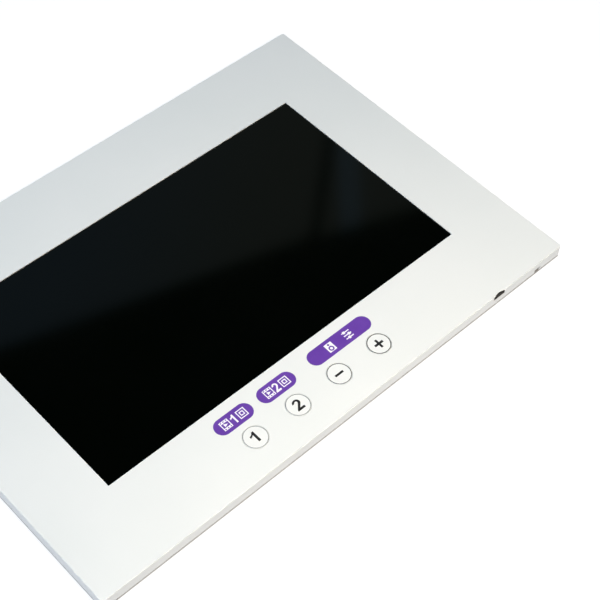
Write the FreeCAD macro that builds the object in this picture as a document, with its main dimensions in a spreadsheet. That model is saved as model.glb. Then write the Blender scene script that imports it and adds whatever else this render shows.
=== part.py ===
"""Flat A4 video monitor panel: a widescreen display, four push keys, a charging port and a power switch.

The panel lies on its rubber feet. X runs along its width, Y up its face and Z out of the screen.
The origin is on the table, under the middle of the panel. Every length is in millimetres.
"""

import FreeCAD
import Part

import math
import os
import re

import Sketcher
from FreeCAD import Vector

doc = FreeCAD.newDocument("video_monitor_panel")
SUB_PARTS = []

# ---------------------------------------------------------------- driving dimensions

DIMENSIONS = {
    # casing: a printed front sheet, a frame with the side walls, and a screwed back cover
    "panel_width": 297.0,
    "panel_height": 210.0,
    "case_depth": 7.6,
    "corner_radius": 1.2,
    "sheet_thick": 0.5,
    "sheet_edge": 0.35,
    "cover_thick": 0.8,
    "cover_inset": 0.2,
    "cover_edge": 0.3,
    "wall": 2.0,
    "deck_thick": 1.0,
    "rib": 1.2,
    "foot_diameter": 12.0,
    "foot_proud": 0.6,
    "foot_recess": 0.3,
    "foot_x": 131.0,
    "foot_y": 94.0,
    # display module: outline, viewing window and the layers from front to back
    "window_width": 223.0,
    "window_height": 125.4,
    "lcd_width": 235.0,
    "lcd_height": 143.0,
    "lcd_centre_y": -3.0,
    "lcd_clearance": 0.3,
    "lcd_depth": 2.85,
    "lcd_steel": 0.2,
    "gasket_thick": 0.1,
    "polariser_width": 225.6,
    "polariser_height": 128.2,
    "polariser_thick": 0.2,
    "polariser_sink": 0.02,
    "glass_width": 230.0,
    "glass_height": 132.0,
    "glass_thick": 0.5,
    "glass_ledge": 4.0,
    "film_thick": 0.35,
    "guide_thick": 0.6,
    "reflector_thick": 0.15,
    "guide_width": 227.0,
    "guide_height": 130.0,
    "back_plate_thick": 0.25,
    "led_pitch": 9.2,
    "led_width": 3.8,
    "led_height": 0.5,
    "led_depth": 0.9,
    "driver_width": 16.0,
    "driver_pitch": 60.0,
    # push keys: one row of round caps below the window
    "key_pitch": 26.6,
    "key_first_x": -45.7,
    "key_row_y": -87.0,
    "key_diameter": 12.24,
    "key_gap": 0.18,
    "key_deck_gap": 0.4,
    "key_travel": 0.4,
    "key_body_height": 2.0,
    "key_skin": 1.2,
    "key_rim": 1.2,
    "key_flange_diameter": 14.6,
    "key_flange_height": 0.45,
    "key_post_diameter": 3.0,
    "key_post_height": 0.7,
    "key_edge": 0.15,
    # tactile switches under the keys
    "tact_side": 5.2,
    "tact_height": 1.3,
    "tact_roof": 0.35,
    "tact_floor": 0.15,
    "tact_bore": 2.8,
    "tact_cavity": 4.4,
    "stem_diameter": 2.6,
    "stem_flange_diameter": 4.0,
    "stem_flange_height": 0.25,
    "dome_diameter": 4.2,
    "dome_height": 0.45,
    "dome_thick": 0.08,
    "key_board_thick": 0.6,
    "key_board_width": 98.0,
    "key_board_height": 13.0,
    "key_board_x": -5.8,
    "key_board_y": -86.5,
    # main board in the lower right corner
    "board_left": 57.0,
    "board_right": 137.5,
    "board_low": -102.6,
    "board_high": -78.6,
    "board_thick": 0.8,
    "board_front_gap": 3.0,
    # charging port
    "port_x": 101.5,
    "port_width": 7.5,
    "port_height": 2.45,
    "port_length": 5.2,
    "port_set_back": 1.5,
    "port_steel": 0.25,
    "port_slot_margin": 0.3,
    "scallop_width": 7.2,
    "scallop_depth": 0.8,
    # power slide switch
    "slide_x": 131.0,
    "slide_width": 6.7,
    "slide_depth": 2.6,
    "slide_height": 1.8,
    "slide_travel": 1.5,
    "slide_knob_width": 1.3,
    "slide_knob_height": 0.8,
    "slide_knob_reach": 2.0,
    "slide_notch": 4.0,
    # battery in the strip above the display
    "battery_width": 130.0,
    "battery_height": 27.0,
    "battery_thick": 3.7,
    "battery_y": 87.5,
    "tape_thick": 0.15,
    # speakers in the side strips
    "speaker_x": 131.0,
    "speaker_y": -40.0,
    "speaker_width": 22.0,
    "speaker_height": 50.0,
    "speaker_thick": 3.6,
    "magnet_diameter": 13.8,
    "coil_diameter": 10.4,
    "grille_hole": 1.5,
    "grille_pitch_x": 3.2,
    "grille_pitch_y": 4.0,
    # fasteners and wall-hanging keyholes
    "boss_diameter": 4.6,
    "screw_diameter": 2.0,
    "screw_head": 3.7,
    "screw_length": 4.2,
    "small_screw": 1.4,
    "small_screw_head": 2.8,
    "small_screw_head_height": 0.5,
    "post_diameter": 3.6,
    "keyhole_x": 90.0,
    "keyhole_y": 86.0,
    "keyhole_entry": 7.5,
    "keyhole_slot": 4.0,
    "keyhole_rise": 7.0,
    "keyhole_depth": 3.0,
    "wire_diameter": 0.9,
}

sheet = doc.addObject("Spreadsheet::Sheet", "dims")
for row, (alias, value) in enumerate(DIMENSIONS.items(), start=1):
    sheet.set(f"A{row}", alias)
    sheet.set(f"B{row}", str(value))
    sheet.setAlias(f"B{row}", alias)
doc.recompute()

# ---------------------------------------------------------------- levels, as formulas

FRONT = "(foot_proud + case_depth)"
SHEET_BACK = f"({FRONT} - sheet_thick)"
DECK_BACK = f"({SHEET_BACK} - deck_thick)"
COVER_BACK = "foot_proud"
COVER_FRONT = "(foot_proud + cover_thick)"
BAY_DEPTH = f"({DECK_BACK} - {COVER_FRONT})"

LCD_FRONT = f"({SHEET_BACK} - gasket_thick)"
LCD_BACK = f"({LCD_FRONT} - lcd_depth)"
GLASS_FRONT = f"({LCD_FRONT} - polariser_sink - polariser_thick)"
GLASS_MIDDLE = f"({GLASS_FRONT} - glass_thick)"
GLASS_BACK = f"({GLASS_MIDDLE} - glass_thick)"
FILM_FRONT = f"({GLASS_BACK} - polariser_thick - 0.03)"
FILM_BACK = f"({FILM_FRONT} - film_thick)"
GUIDE_BACK = f"({FILM_BACK} - 0.02 - guide_thick)"
REFLECTOR_BACK = f"({GUIDE_BACK} - 0.03 - reflector_thick)"

BOARD_FRONT = f"({FRONT} - board_front_gap)"
BOARD_BACK = f"({BOARD_FRONT} - board_thick)"
KEY_BASE = f"({FRONT} - key_body_height)"
KEY_FOOT = f"({KEY_BASE} - key_post_height)"
TACT_FRONT = f"({KEY_FOOT} - 0.6)"
TACT_BACK = f"({TACT_FRONT} - tact_height)"
KEY_BOARD_BACK = f"({TACT_BACK} - key_board_thick)"

BOTTOM_EDGE = "(0 - panel_height/2)"
KEY_NAMES = ["one", "two", "minus", "plus"]


def formula(text):
    """A formula in plain dimension names, with each name pointed at its cell in the sheet."""
    return re.sub(r"[a-z][a-z0-9_]*", lambda m: "dims." + m[0] if m[0] in DIMENSIONS else m[0], str(text))


def bind(thing, **formulas):
    """Binds properties of a document object, such as Length, to formulas of the dimensions."""
    for name, text in formulas.items():
        thing.setExpression(name, formula(text))
    return thing


def place(thing, x, y, z):
    """Binds an object's position to three formulas."""
    for axis, text in zip("xyz", (x, y, z)):
        thing.setExpression(f"Placement.Base.{axis}", formula(text))
    return thing


calculator = doc.addObject("App::FeaturePython", "calculator")
calculator.addProperty("App::PropertyFloat", "Value")


def number(text):
    """The value of a formula, worked out by the document's own expression engine."""
    calculator.setExpression("Value", formula(text))
    calculator.recompute()
    return calculator.Value


def keep(thing, label):
    """Registers a finished object as the sub-part of that name."""
    thing.Label = label
    SUB_PARTS.append(thing)
    return thing


# ---------------------------------------------------------------- solids from primitives


def block(name, x, y, z, width, height, thick):
    """A box centred on x, y, with its underside at z."""
    box = doc.addObject("Part::Box", name)
    bind(box, Length=width, Width=height, Height=thick)
    return place(box, f"{x} - ({width})/2", f"{y} - ({height})/2", z)


def drum(name, x, y, z, diameter, thick):
    """An upright cylinder centred on x, y, with its underside at z."""
    cylinder = doc.addObject("Part::Cylinder", name)
    bind(cylinder, Radius=f"({diameter})/2", Height=thick)
    return place(cylinder, x, y, z)


def cone(name, x, y, z, low_diameter, high_diameter, thick):
    """An upright cone frustum centred on x, y, with its underside at z."""
    frustum = doc.addObject("Part::Cone", name)
    bind(frustum, Radius1=f"({low_diameter})/2", Radius2=f"({high_diameter})/2", Height=thick)
    return place(frustum, x, y, z)


def cut(name, base, *tools):
    """base less every tool."""
    tool = tools[0] if len(tools) == 1 else fuse(name + "_tools", *tools)
    result = doc.addObject("Part::Cut", name)
    result.Base, result.Tool = base, tool
    return result


def fuse(name, *shapes):
    """One solid from touching shapes."""
    result = doc.addObject("Part::MultiFuse", name)
    result.Shapes = list(shapes)
    return result


def group(name, *shapes):
    """Separate solids that share one node."""
    result = doc.addObject("Part::Compound", name)
    result.Links = list(shapes)
    return result


# ---------------------------------------------------------------- solids from sketches


class Piece:
    """A PartDesign body that is built up by pads and pockets of sketches parallel to the table."""

    def __init__(self, name):
        self.body = doc.addObject("PartDesign::Body", name)
        self.count = 0

    def name(self, kind):
        self.count += 1
        return f"{self.body.Name}_{kind}_{self.count}"

    def sketch(self, z, outlines):
        """A sketch at height z. Each outline is a function that draws itself into it."""
        drawing = self.body.newObject("Sketcher::SketchObject", self.name("sketch"))
        flat = next(f for f in self.body.Origin.OriginFeatures if f.Role == "XY_Plane")
        drawing.AttachmentSupport = [(flat, "")]
        drawing.MapMode = "FlatFace"
        drawing.setExpression("AttachmentOffset.Base.z", formula(z))
        for outline in outlines:
            outline(drawing)
        doc.recompute()
        return drawing

    def pad(self, z, thick, *outlines):
        """Adds the outlines' area from z upwards."""
        feature = self.body.newObject("PartDesign::Pad", self.name("pad"))
        feature.Profile = self.sketch(z, outlines)
        bind(feature, Length=thick)
        return self.check(feature)

    def pocket(self, top, depth, *outlines):
        """Removes the outlines' area from the level top downwards."""
        before = self.body.Shape.Volume
        feature = self.body.newObject("PartDesign::Pocket", self.name("pocket"))
        feature.Profile = self.sketch(top, outlines)
        bind(feature, Length=depth)
        self.check(feature)
        if self.body.Shape.Volume > before - 1e-6:
            raise RuntimeError(f"{feature.Name} cuts nothing")
        return feature

    def fillet(self, radius, wanted):
        """Rounds the edges of the last feature that wanted(edge) picks."""
        return self.dress("PartDesign::Fillet", "Radius", radius, wanted)

    def chamfer(self, size, wanted):
        """Bevels the edges of the last feature that wanted(edge) picks."""
        return self.dress("PartDesign::Chamfer", "Size", size, wanted)

    def dress(self, kind, measure, size, wanted):
        tip = self.body.Tip
        edges = [f"Edge{i}" for i, edge in enumerate(tip.Shape.Edges, 1) if wanted(edge)]
        feature = self.body.newObject(kind, self.name("edge"))
        feature.Base = (tip, edges)
        bind(feature, **{measure: size})
        return self.check(feature)

    def repeat(self, feature, axis, length, occurrences):
        """Repeats a feature along an axis of the body over that length."""
        line = next(f for f in self.body.Origin.OriginFeatures if f.Role == axis)
        pattern = self.body.newObject("PartDesign::LinearPattern", self.name("pattern"))
        pattern.Originals = [feature]
        pattern.Direction = (line, [""])
        bind(pattern, Length=length)
        pattern.Occurrences = occurrences
        self.body.Tip = pattern
        return self.check(pattern)

    def check(self, feature):
        doc.recompute()
        if "Invalid" in feature.State or "Error" in feature.State:
            raise RuntimeError(f"{feature.Name} failed")
        return feature


def fix(drawing, kind, ends, text):
    """A dimension between two sketch points, or of one curve, bound to a formula."""
    index = drawing.addConstraint(Sketcher.Constraint(kind, *ends, number(text)))
    drawing.renameConstraint(index, f"size_{index}")
    drawing.setExpression(f"Constraints.size_{index}", formula(text))


def rectangle(x, y, width, height):
    """An outline: a rectangle centred on x, y."""

    def draw(drawing):
        cx, cy, w, h = (number(v) for v in (x, y, width, height))
        signs = ((-1, -1), (1, -1), (1, 1), (-1, 1))
        corners = [Vector(cx + sx * w / 2, cy + sy * h / 2) for sx, sy in signs]
        lines = [
            drawing.addGeometry(Part.LineSegment(corners[i], corners[(i + 1) % 4]), False) for i in range(4)
        ]
        for i, line in enumerate(lines):
            drawing.addConstraint(Sketcher.Constraint("Coincident", line, 2, lines[(i + 1) % 4], 1))
            drawing.addConstraint(Sketcher.Constraint("Vertical" if i % 2 else "Horizontal", line))
        fix(drawing, "DistanceX", (lines[0], 1, lines[0], 2), width)
        fix(drawing, "DistanceY", (lines[1], 1, lines[1], 2), height)
        fix(drawing, "DistanceX", (-1, 1, lines[0], 1), f"{x} - ({width})/2")
        fix(drawing, "DistanceY", (-1, 1, lines[0], 1), f"{y} - ({height})/2")

    return draw


def circle(x, y, diameter):
    """An outline: a circle centred on x, y."""

    def draw(drawing):
        centre = Vector(number(x), number(y))
        round_line = drawing.addGeometry(Part.Circle(centre, Vector(0, 0, 1), number(diameter) / 2), False)
        fix(drawing, "Diameter", (round_line,), diameter)
        fix(drawing, "DistanceX", (-1, 1, round_line, 3), x)
        fix(drawing, "DistanceY", (-1, 1, round_line, 3), y)

    return draw


def circles(places, diameter):
    """Outlines: equal circles at a list of places."""
    return [circle(x, y, diameter) for x, y in places]


def upright(edge):
    """True for an edge along Z."""
    return abs(edge.tangentAt(edge.FirstParameter).z) > 0.9


def at_level(z, half_width, half_height):
    """Picks the edges of the outer outline at height z."""

    def wanted(edge):
        box = edge.BoundBox
        flat = box.ZLength < 1e-6 and abs(box.ZMax - number(z)) < 1e-6
        wide = max(abs(box.XMin), abs(box.XMax)) > number(half_width) - 2
        high = max(abs(box.YMin), abs(box.YMax)) > number(half_height) - 2
        middle = edge.CenterOfMass
        outer = abs(middle.x) > number(half_width) - 1 or abs(middle.y) > number(half_height) - 1
        return flat and (wide or high) and outer

    return wanted


# ---------------------------------------------------------------- places that several parts share

KEY_PLACES = [(f"(key_first_x + {i}*key_pitch)", "key_row_y") for i in range(4)]
COVER_SCREWS = [(sx * 141.5, sy * 98.5) for sx in (-1, 1) for sy in (-1, 1)]
COVER_SCREWS += [(-74, 99.5), (74, 99.5), (-142, 0), (142, 0), (-62, -99.5), (50, -99.5)]
BOARD_SCREWS = [(60.5, -99.5), (65, -81), (134.5, -86.5), (100.5, -81)]
KEY_BOARD_SCREWS = [(-32.4, -90.5), (-5.8, -82.5), (20.8, -90.5)]
FOOT_PLACES = [(f"{sx}*foot_x", f"{sy}*foot_y") for sx in (-1, 1) for sy in (-1, 1)]
KEYHOLE_PLACES = [("0 - keyhole_x", "keyhole_y"), ("keyhole_x", "keyhole_y")]
LCD_OPENING = ("lcd_width + 2*lcd_clearance", "lcd_height + 2*lcd_clearance")
RIBBON_X = 80
RIBBON_WIDTH = 20


# ---------------------------------------------------------------- casing


def make_front_sheet():
    """The printed front sheet: one thin sheet with the display window and the four key holes."""
    piece = Piece("sheet_body")
    piece.pad(SHEET_BACK, "sheet_thick", rectangle(0, 0, "panel_width", "panel_height"))
    piece.fillet("corner_radius", upright)
    piece.fillet("sheet_edge", at_level(FRONT, "panel_width/2", "panel_height/2"))
    piece.pocket(FRONT, "sheet_thick", rectangle(0, 0, "window_width", "window_height"))
    piece.pocket(FRONT, "sheet_thick", *circles(KEY_PLACES, "key_diameter + 2*key_gap"))
    scallop = "((scallop_width/2)^2 + scallop_depth^2)/scallop_depth"
    piece.pocket(
        FRONT, "sheet_thick", circle("port_x", f"{BOTTOM_EDGE} + scallop_depth - ({scallop})/2", scallop)
    )
    keep(piece.body, "front_sheet")


def make_frame():
    """The moulded frame: walls, a deck behind the sheet, ribs, bosses and the cut-outs in its lower wall."""
    piece = Piece("frame_body")
    piece.pad(COVER_FRONT, f"{SHEET_BACK} - {COVER_FRONT}", rectangle(0, 0, "panel_width", "panel_height"))
    piece.fillet("corner_radius", upright)
    piece.pocket(DECK_BACK, BAY_DEPTH, rectangle(0, 0, "panel_width - 2*wall", "panel_height - 2*wall"))
    piece.pocket(SHEET_BACK, "deck_thick", rectangle(0, "lcd_centre_y", *LCD_OPENING))
    piece.pad(
        COVER_FRONT,
        BAY_DEPTH,
        rectangle(0, "lcd_centre_y", *[f"{side} + 2*rib" for side in LCD_OPENING]),
        rectangle(0, "lcd_centre_y", *LCD_OPENING),
    )
    # bosses for the cover screws, and stiffening ribs that box in the battery
    piece.pad(COVER_FRONT, BAY_DEPTH, *circles(COVER_SCREWS, "boss_diameter"))
    for side in (-1, 1):
        piece.pad(COVER_FRONT, BAY_DEPTH, rectangle(f"{side}*78", "panel_height/2 - 13", "rib", 23))
    # pockets that keep the heads of the wall screws away from the battery
    for x, y in KEYHOLE_PLACES:
        middle = f"{y} + keyhole_rise/2"
        piece.pad(COVER_FRONT, BAY_DEPTH, rectangle(x, middle, 12, 19))
        piece.pocket(f"{COVER_FRONT} + keyhole_depth", "keyhole_depth", rectangle(x, middle, 9.6, 16.6))
    # stand-offs for the two boards
    piece.pad(BOARD_FRONT, f"{DECK_BACK} - {BOARD_FRONT}", *circles(BOARD_SCREWS, "post_diameter"))
    piece.pad(TACT_BACK, f"{DECK_BACK} - {TACT_BACK}", *circles(KEY_BOARD_SCREWS, "post_diameter"))
    # pilot holes
    piece.pocket(f"{COVER_FRONT} + screw_length", "screw_length", *circles(COVER_SCREWS, "screw_diameter"))
    piece.pocket(
        f"{DECK_BACK} + 0.5", f"{DECK_BACK} + 0.5 - {BOARD_FRONT}", *circles(BOARD_SCREWS, "small_screw")
    )
    piece.pocket(f"{TACT_BACK} + 2.4", 2.4, *circles(KEY_BOARD_SCREWS, "small_screw"))
    # key holes through the deck
    piece.pocket(
        SHEET_BACK, "deck_thick", *circles(KEY_PLACES, "key_diameter + 2*key_gap + key_deck_gap")
    )
    # charging port: through the deck and the lower wall, up to the front sheet
    slot_width = "port_width + 2*port_slot_margin"
    piece.pocket(
        SHEET_BACK,
        f"{SHEET_BACK} - {BOARD_FRONT} + 0.1",
        rectangle("port_x", f"{BOTTOM_EDGE} + 3.6", slot_width, "7.2"),
    )
    # power switch: a notch in the lower wall, open towards the back cover
    piece.pocket(
        f"{BOARD_BACK} - 0.5",
        f"{BOARD_BACK} - 0.5 - {COVER_FRONT}",
        rectangle("slide_x", f"{BOTTOM_EDGE} + wall/2", "slide_notch", "wall + 0.2"),
    )
    # way out of the display pocket for the display's flex
    lower_rib = "lcd_centre_y - lcd_height/2 - lcd_clearance - rib/2"
    piece.pocket(f"{COVER_FRONT} + 3.4", 3.4, rectangle(RIBBON_X, lower_rib, RIBBON_WIDTH + 2, "rib + 0.4"))
    keep(piece.body, "frame")


def make_back_cover():
    """The back cover: a thin plate with screw holes, foot recesses, speaker grilles and two keyholes."""
    piece = Piece("cover_body")
    width = "panel_width - 2*cover_inset"
    height = "panel_height - 2*cover_inset"
    piece.pad(COVER_BACK, "cover_thick", rectangle(0, 0, width, height))
    piece.fillet("corner_radius", upright)
    piece.chamfer("cover_edge", at_level(COVER_BACK, f"({width})/2", f"({height})/2"))
    piece.pocket(COVER_FRONT, "cover_thick", *circles(COVER_SCREWS, "screw_diameter + 0.2"))
    piece.pocket(f"{COVER_BACK} + foot_recess", "foot_recess", *circles(FOOT_PLACES, "foot_diameter + 0.3"))
    for x, y in KEYHOLE_PLACES:
        piece.pocket(COVER_FRONT, "cover_thick", circle(x, y, "keyhole_entry"))
        piece.pocket(
            COVER_FRONT, "cover_thick", rectangle(x, f"{y} + keyhole_rise/2", "keyhole_slot", "keyhole_rise")
        )
        piece.pocket(COVER_FRONT, "cover_thick", circle(x, f"{y} + keyhole_rise", "keyhole_slot"))
    row = [
        (f"{side}*speaker_x + {step}*grille_pitch_x", "speaker_y - 4.5*grille_pitch_y")
        for side in (-1, 1)
        for step in (-2, -1, 0, 1, 2)
    ]
    first_row = piece.pocket(COVER_FRONT, "cover_thick", *circles(row, "grille_hole"))
    piece.repeat(first_row, "Y_Axis", "9*grille_pitch_y", 10)
    notch = rectangle("slide_x", f"{BOTTOM_EDGE} + 0.6", "slide_notch", 1.4)
    piece.pocket(COVER_FRONT, "cover_thick", notch)
    sinks = [
        cone(f"cover_sink_{i}", x, y, COVER_BACK, "screw_head + 0.1", "screw_diameter + 0.2", "cover_thick")
        for i, (x, y) in enumerate(COVER_SCREWS)
    ]
    keep(cut("cover_sunk", piece.body, *sinks), "back_cover")


def make_cover_screws():
    """Ten flat-head screws, flush in the cover, with a cross recess."""
    screws = []
    for i, (x, y) in enumerate(COVER_SCREWS):
        head = cone(f"cover_screw_head_{i}", x, y, COVER_BACK, "screw_head", "screw_diameter", "cover_thick")
        size = ("screw_diameter - 0.04", "screw_length - 0.2")
        shank = drum(f"cover_screw_shank_{i}", x, y, f"{COVER_FRONT} - 0.1", *size)
        slots = [
            block(f"cover_screw_slot_{i}_{k}", x, y, f"{COVER_BACK} - 0.1", w, h, "0.6")
            for k, (w, h) in enumerate(((2.0, 0.45), (0.45, 2.0)))
        ]
        screws.append(cut(f"cover_screw_{i}", fuse(f"cover_screw_blank_{i}", head, shank), *slots))
    keep(group("cover_screw_set", *screws), "cover_screws")


def make_rubber_feet():
    """Four round rubber feet in their recesses."""
    feet = []
    for i, (x, y) in enumerate(FOOT_PLACES):
        pad = drum(f"foot_{i}", x, y, 0, "foot_diameter", "foot_proud + foot_recess")
        rounded = doc.addObject("Part::Chamfer", f"foot_edge_{i}")
        doc.recompute()
        rounded.Base = pad
        low = [n for n, e in enumerate(pad.Shape.Edges, 1) if e.BoundBox.ZMax < 1e-6]
        rounded.Edges = [(n, 0.2, 0.2) for n in low]
        feet.append(rounded)
    keep(group("foot_set", *feet), "rubber_feet")


# ---------------------------------------------------------------- display module


def ring(name, x, y, z, outer, inner, thick):
    """A flat rectangular ring: outer and inner are (width, height) formulas."""
    hole = block(name + "_hole", x, y, f"{z} - 1", inner[0], inner[1], f"{thick} + 2")
    return cut(name, block(name + "_plate", x, y, z, outer[0], outer[1], thick), hole)


def make_display_front():
    """Gasket, steel bezel, front polariser and the two glasses with their driver chips."""
    strip = block("gasket", 0, "lcd_centre_y", LCD_FRONT, "lcd_width - 1", "lcd_height - 1", "gasket_thick")
    window = block("gasket_window", 0, 0, f"{LCD_FRONT} - 1", "window_width + 2.4", "window_height + 2.4", 2)
    keep(cut("gasket_cut", strip, window), "lcd_gasket")
    outer = block("bezel_block", 0, "lcd_centre_y", LCD_BACK, "lcd_width", "lcd_height", "lcd_depth")
    inner = block(
        "bezel_inside",
        0,
        "lcd_centre_y",
        f"{LCD_BACK} - 1",
        "lcd_width - 2*lcd_steel",
        "lcd_height - 2*lcd_steel",
        "lcd_depth + 1 - lcd_steel",
    )
    lip = block("bezel_lip", 0, 0, f"{LCD_FRONT} - 1", "polariser_width + 0.8", "polariser_height + 0.8", 2)
    keep(cut("bezel", outer, inner, lip), "lcd_bezel")
    keep(
        block("polariser", 0, 0, GLASS_FRONT, "polariser_width", "polariser_height", "polariser_thick"),
        "front_polariser",
    )
    keep(
        block("filter_glass", 0, 0, GLASS_MIDDLE, "glass_width", "glass_height", "glass_thick"),
        "colour_filter_glass",
    )
    keep(
        block(
            "circuit_glass",
            0,
            "0 - glass_ledge/2",
            GLASS_BACK,
            "glass_width",
            "glass_height + glass_ledge",
            "glass_thick",
        ),
        "tft_glass",
    )
    ledge = "0 - glass_height/2 - 1.6"
    drivers = [
        block(f"driver_{i}", f"{i - 1}*driver_pitch", ledge, GLASS_MIDDLE, "driver_width", 1.4, 0.3)
        for i in range(3)
    ]
    keep(group("driver_set", *drivers), "lcd_driver_chips")


def make_backlight():
    """Films, light guide, reflector, moulded frame, LED bar and steel back plate."""
    keep(block("films", 0, 0, FILM_BACK, "guide_width", "guide_height", "film_thick"), "optical_films")
    keep(block("guide", 0, 0, GUIDE_BACK, "guide_width", "guide_height", "guide_thick"), "light_guide")
    keep(
        block("mirror_film", 0, 0, REFLECTOR_BACK, "guide_width", "guide_height", "reflector_thick"),
        "reflector_sheet",
    )
    tray = block(
        "tray",
        0,
        "lcd_centre_y",
        LCD_BACK,
        "lcd_width - 2*lcd_steel - 0.2",
        "lcd_height - 2*lcd_steel - 0.2",
        "back_plate_thick",
    )
    flex_y = "lcd_centre_y - lcd_height/2 + 1.9"
    flex_slot = block("tray_slot", RIBBON_X, flex_y, f"{LCD_BACK} - 1", RIBBON_WIDTH + 1, 1.0, 9)
    keep(cut("tray_cut", tray, flex_slot), "lcd_back_plate")
    frame = ring(
        "light_frame",
        0,
        "lcd_centre_y",
        f"{LCD_BACK} + back_plate_thick",
        ("lcd_width - 2*lcd_steel - 0.4", "lcd_height - 2*lcd_steel - 0.4"),
        ("guide_width + 0.6", "guide_height - 4"),
        f"{GLASS_BACK} - 0.02 - {LCD_BACK} - back_plate_thick",
    )
    film_pocket = block("film_pocket", 0, 0, LCD_BACK, "guide_width + 0.6", "guide_height + 0.6", 9)
    led_pocket = block(
        "led_pocket", 0, "0 - guide_height/2 - 1.4", f"{GUIDE_BACK} - 0.2", "guide_width + 0.6", 2.4, "1.0"
    )
    frame_slot = block("frame_slot", RIBBON_X, flex_y, LCD_BACK, RIBBON_WIDTH + 1, 1.0, 9)
    keep(cut("light_frame_cut", frame, film_pocket, led_pocket, frame_slot), "backlight_frame")
    y = "0 - guide_height/2 - 1.4"
    strip = block("led_strip", 0, y, f"{GUIDE_BACK} - 0.15", "guide_width - 4", 2.0, 0.15)
    size = ("led_width", "led_depth", "led_height")
    leds = [block(f"led_{i}", f"{i - 11.5}*led_pitch", f"{y} + 0.5", GUIDE_BACK, *size) for i in range(24)]
    keep(fuse("led_row", strip, *leds), "led_bar")


def make_display_ribbon():
    """The display's flex: off the glass ledge, down behind the module and across to the main board."""
    width = RIBBON_WIDTH
    low = f"({BOARD_BACK} - 0.68)"
    turn = "(lcd_centre_y - lcd_height/2 + 1.9)"
    thick = 0.15
    over = block("flex_over", RIBBON_X, f"{turn} + 1.85", GLASS_MIDDLE, width, 3.85, thick)
    down = block("flex_down", RIBBON_X, turn, low, width, thick, f"{GLASS_MIDDLE} + {thick} - {low}")
    reach = f"({turn} - board_high + 1.7)"
    away = block("flex_away", RIBBON_X, f"{turn} + 0.075 - {reach}/2", low, width, reach, thick)
    keep(fuse("flex", over, down, away), "lcd_ribbon")


def make_foam_pads():
    """Foam strips that press the display forward against its gasket."""
    size = (12, 110, f"{LCD_BACK} - {COVER_FRONT} - 0.04")
    places = (-100, -60, -20, 20, 60, 100)
    pads = [block(f"foam_{x}", x, "lcd_centre_y", f"{COVER_FRONT} + 0.02", *size) for x in places]
    keep(group("foam_set", *pads), "foam_pads")


# ---------------------------------------------------------------- push keys


def make_key(name, x, y):
    """One key: a hollow cap with a retaining flange and a post, on a tactile switch."""
    cap = Piece(f"cap_{name}")
    cap.pad(KEY_BASE, "key_body_height", circle(x, y, "key_diameter"))
    rim_level = number(FRONT)
    cap.fillet("key_edge", lambda edge: abs(edge.BoundBox.ZMin - rim_level) < 1e-6)
    cap.pad(KEY_BASE, "key_flange_height", circle(x, y, "key_flange_diameter"))
    cap.pocket(
        f"{FRONT} - key_skin", "key_body_height - key_skin", circle(x, y, "key_diameter - 2*key_rim")
    )
    cap.pad(KEY_FOOT, f"{FRONT} - key_skin - {KEY_FOOT}", circle(x, y, "key_post_diameter"))
    keep(cap.body, f"key_cap_{name}")

    stem_top = f"({TACT_FRONT} - tact_roof - 0.05)"
    stem_height = f"{KEY_FOOT} - {stem_top} + 0.01"
    stem = drum(f"stem_{name}", x, y, f"{stem_top} - 0.01", "stem_diameter", stem_height)
    flange = drum(
        f"stem_flange_{name}",
        x,
        y,
        f"{stem_top} - stem_flange_height",
        "stem_flange_diameter",
        "stem_flange_height",
    )
    keep(fuse(f"plunger_{name}", stem, flange), f"switch_plunger_{name}")

    shell = block(f"tact_shell_{name}", x, y, TACT_BACK, "tact_side", "tact_side", "tact_height")
    bore = drum(f"tact_bore_{name}", x, y, f"{TACT_FRONT} - 1", "tact_bore", 2)
    cavity = drum(
        f"tact_cavity_{name}",
        x,
        y,
        f"{TACT_BACK} + tact_floor",
        "tact_cavity",
        "tact_height - tact_floor - tact_roof",
    )
    keep(cut(f"tact_{name}", shell, bore, cavity), f"switch_housing_{name}")
    keep_dome(name, x, y)


def keep_dome(name, x, y):
    """The snap dome inside the switch: a thin spherical shell that stands on the switch's floor."""
    radius = number("dome_diameter") / 2
    rise = number("dome_height")
    thick = number("dome_thick")
    sphere = (radius**2 + rise**2) / (2 * rise)
    middle = rise - sphere
    outer = Part.makeSphere(sphere, Vector(0, 0, middle))
    inner = Part.makeSphere(sphere - thick, Vector(0, 0, middle))
    above_floor = Part.makeBox(4 * radius, 4 * radius, rise + 1, Vector(-2 * radius, -2 * radius, 0))
    dome = doc.addObject("Part::Feature", f"dome_{name}")
    dome.Shape = outer.cut(inner).common(above_floor).Solids[0]
    place(dome, x, y, f"{TACT_BACK} + tact_floor")
    keep(dome, f"snap_dome_{name}")


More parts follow.
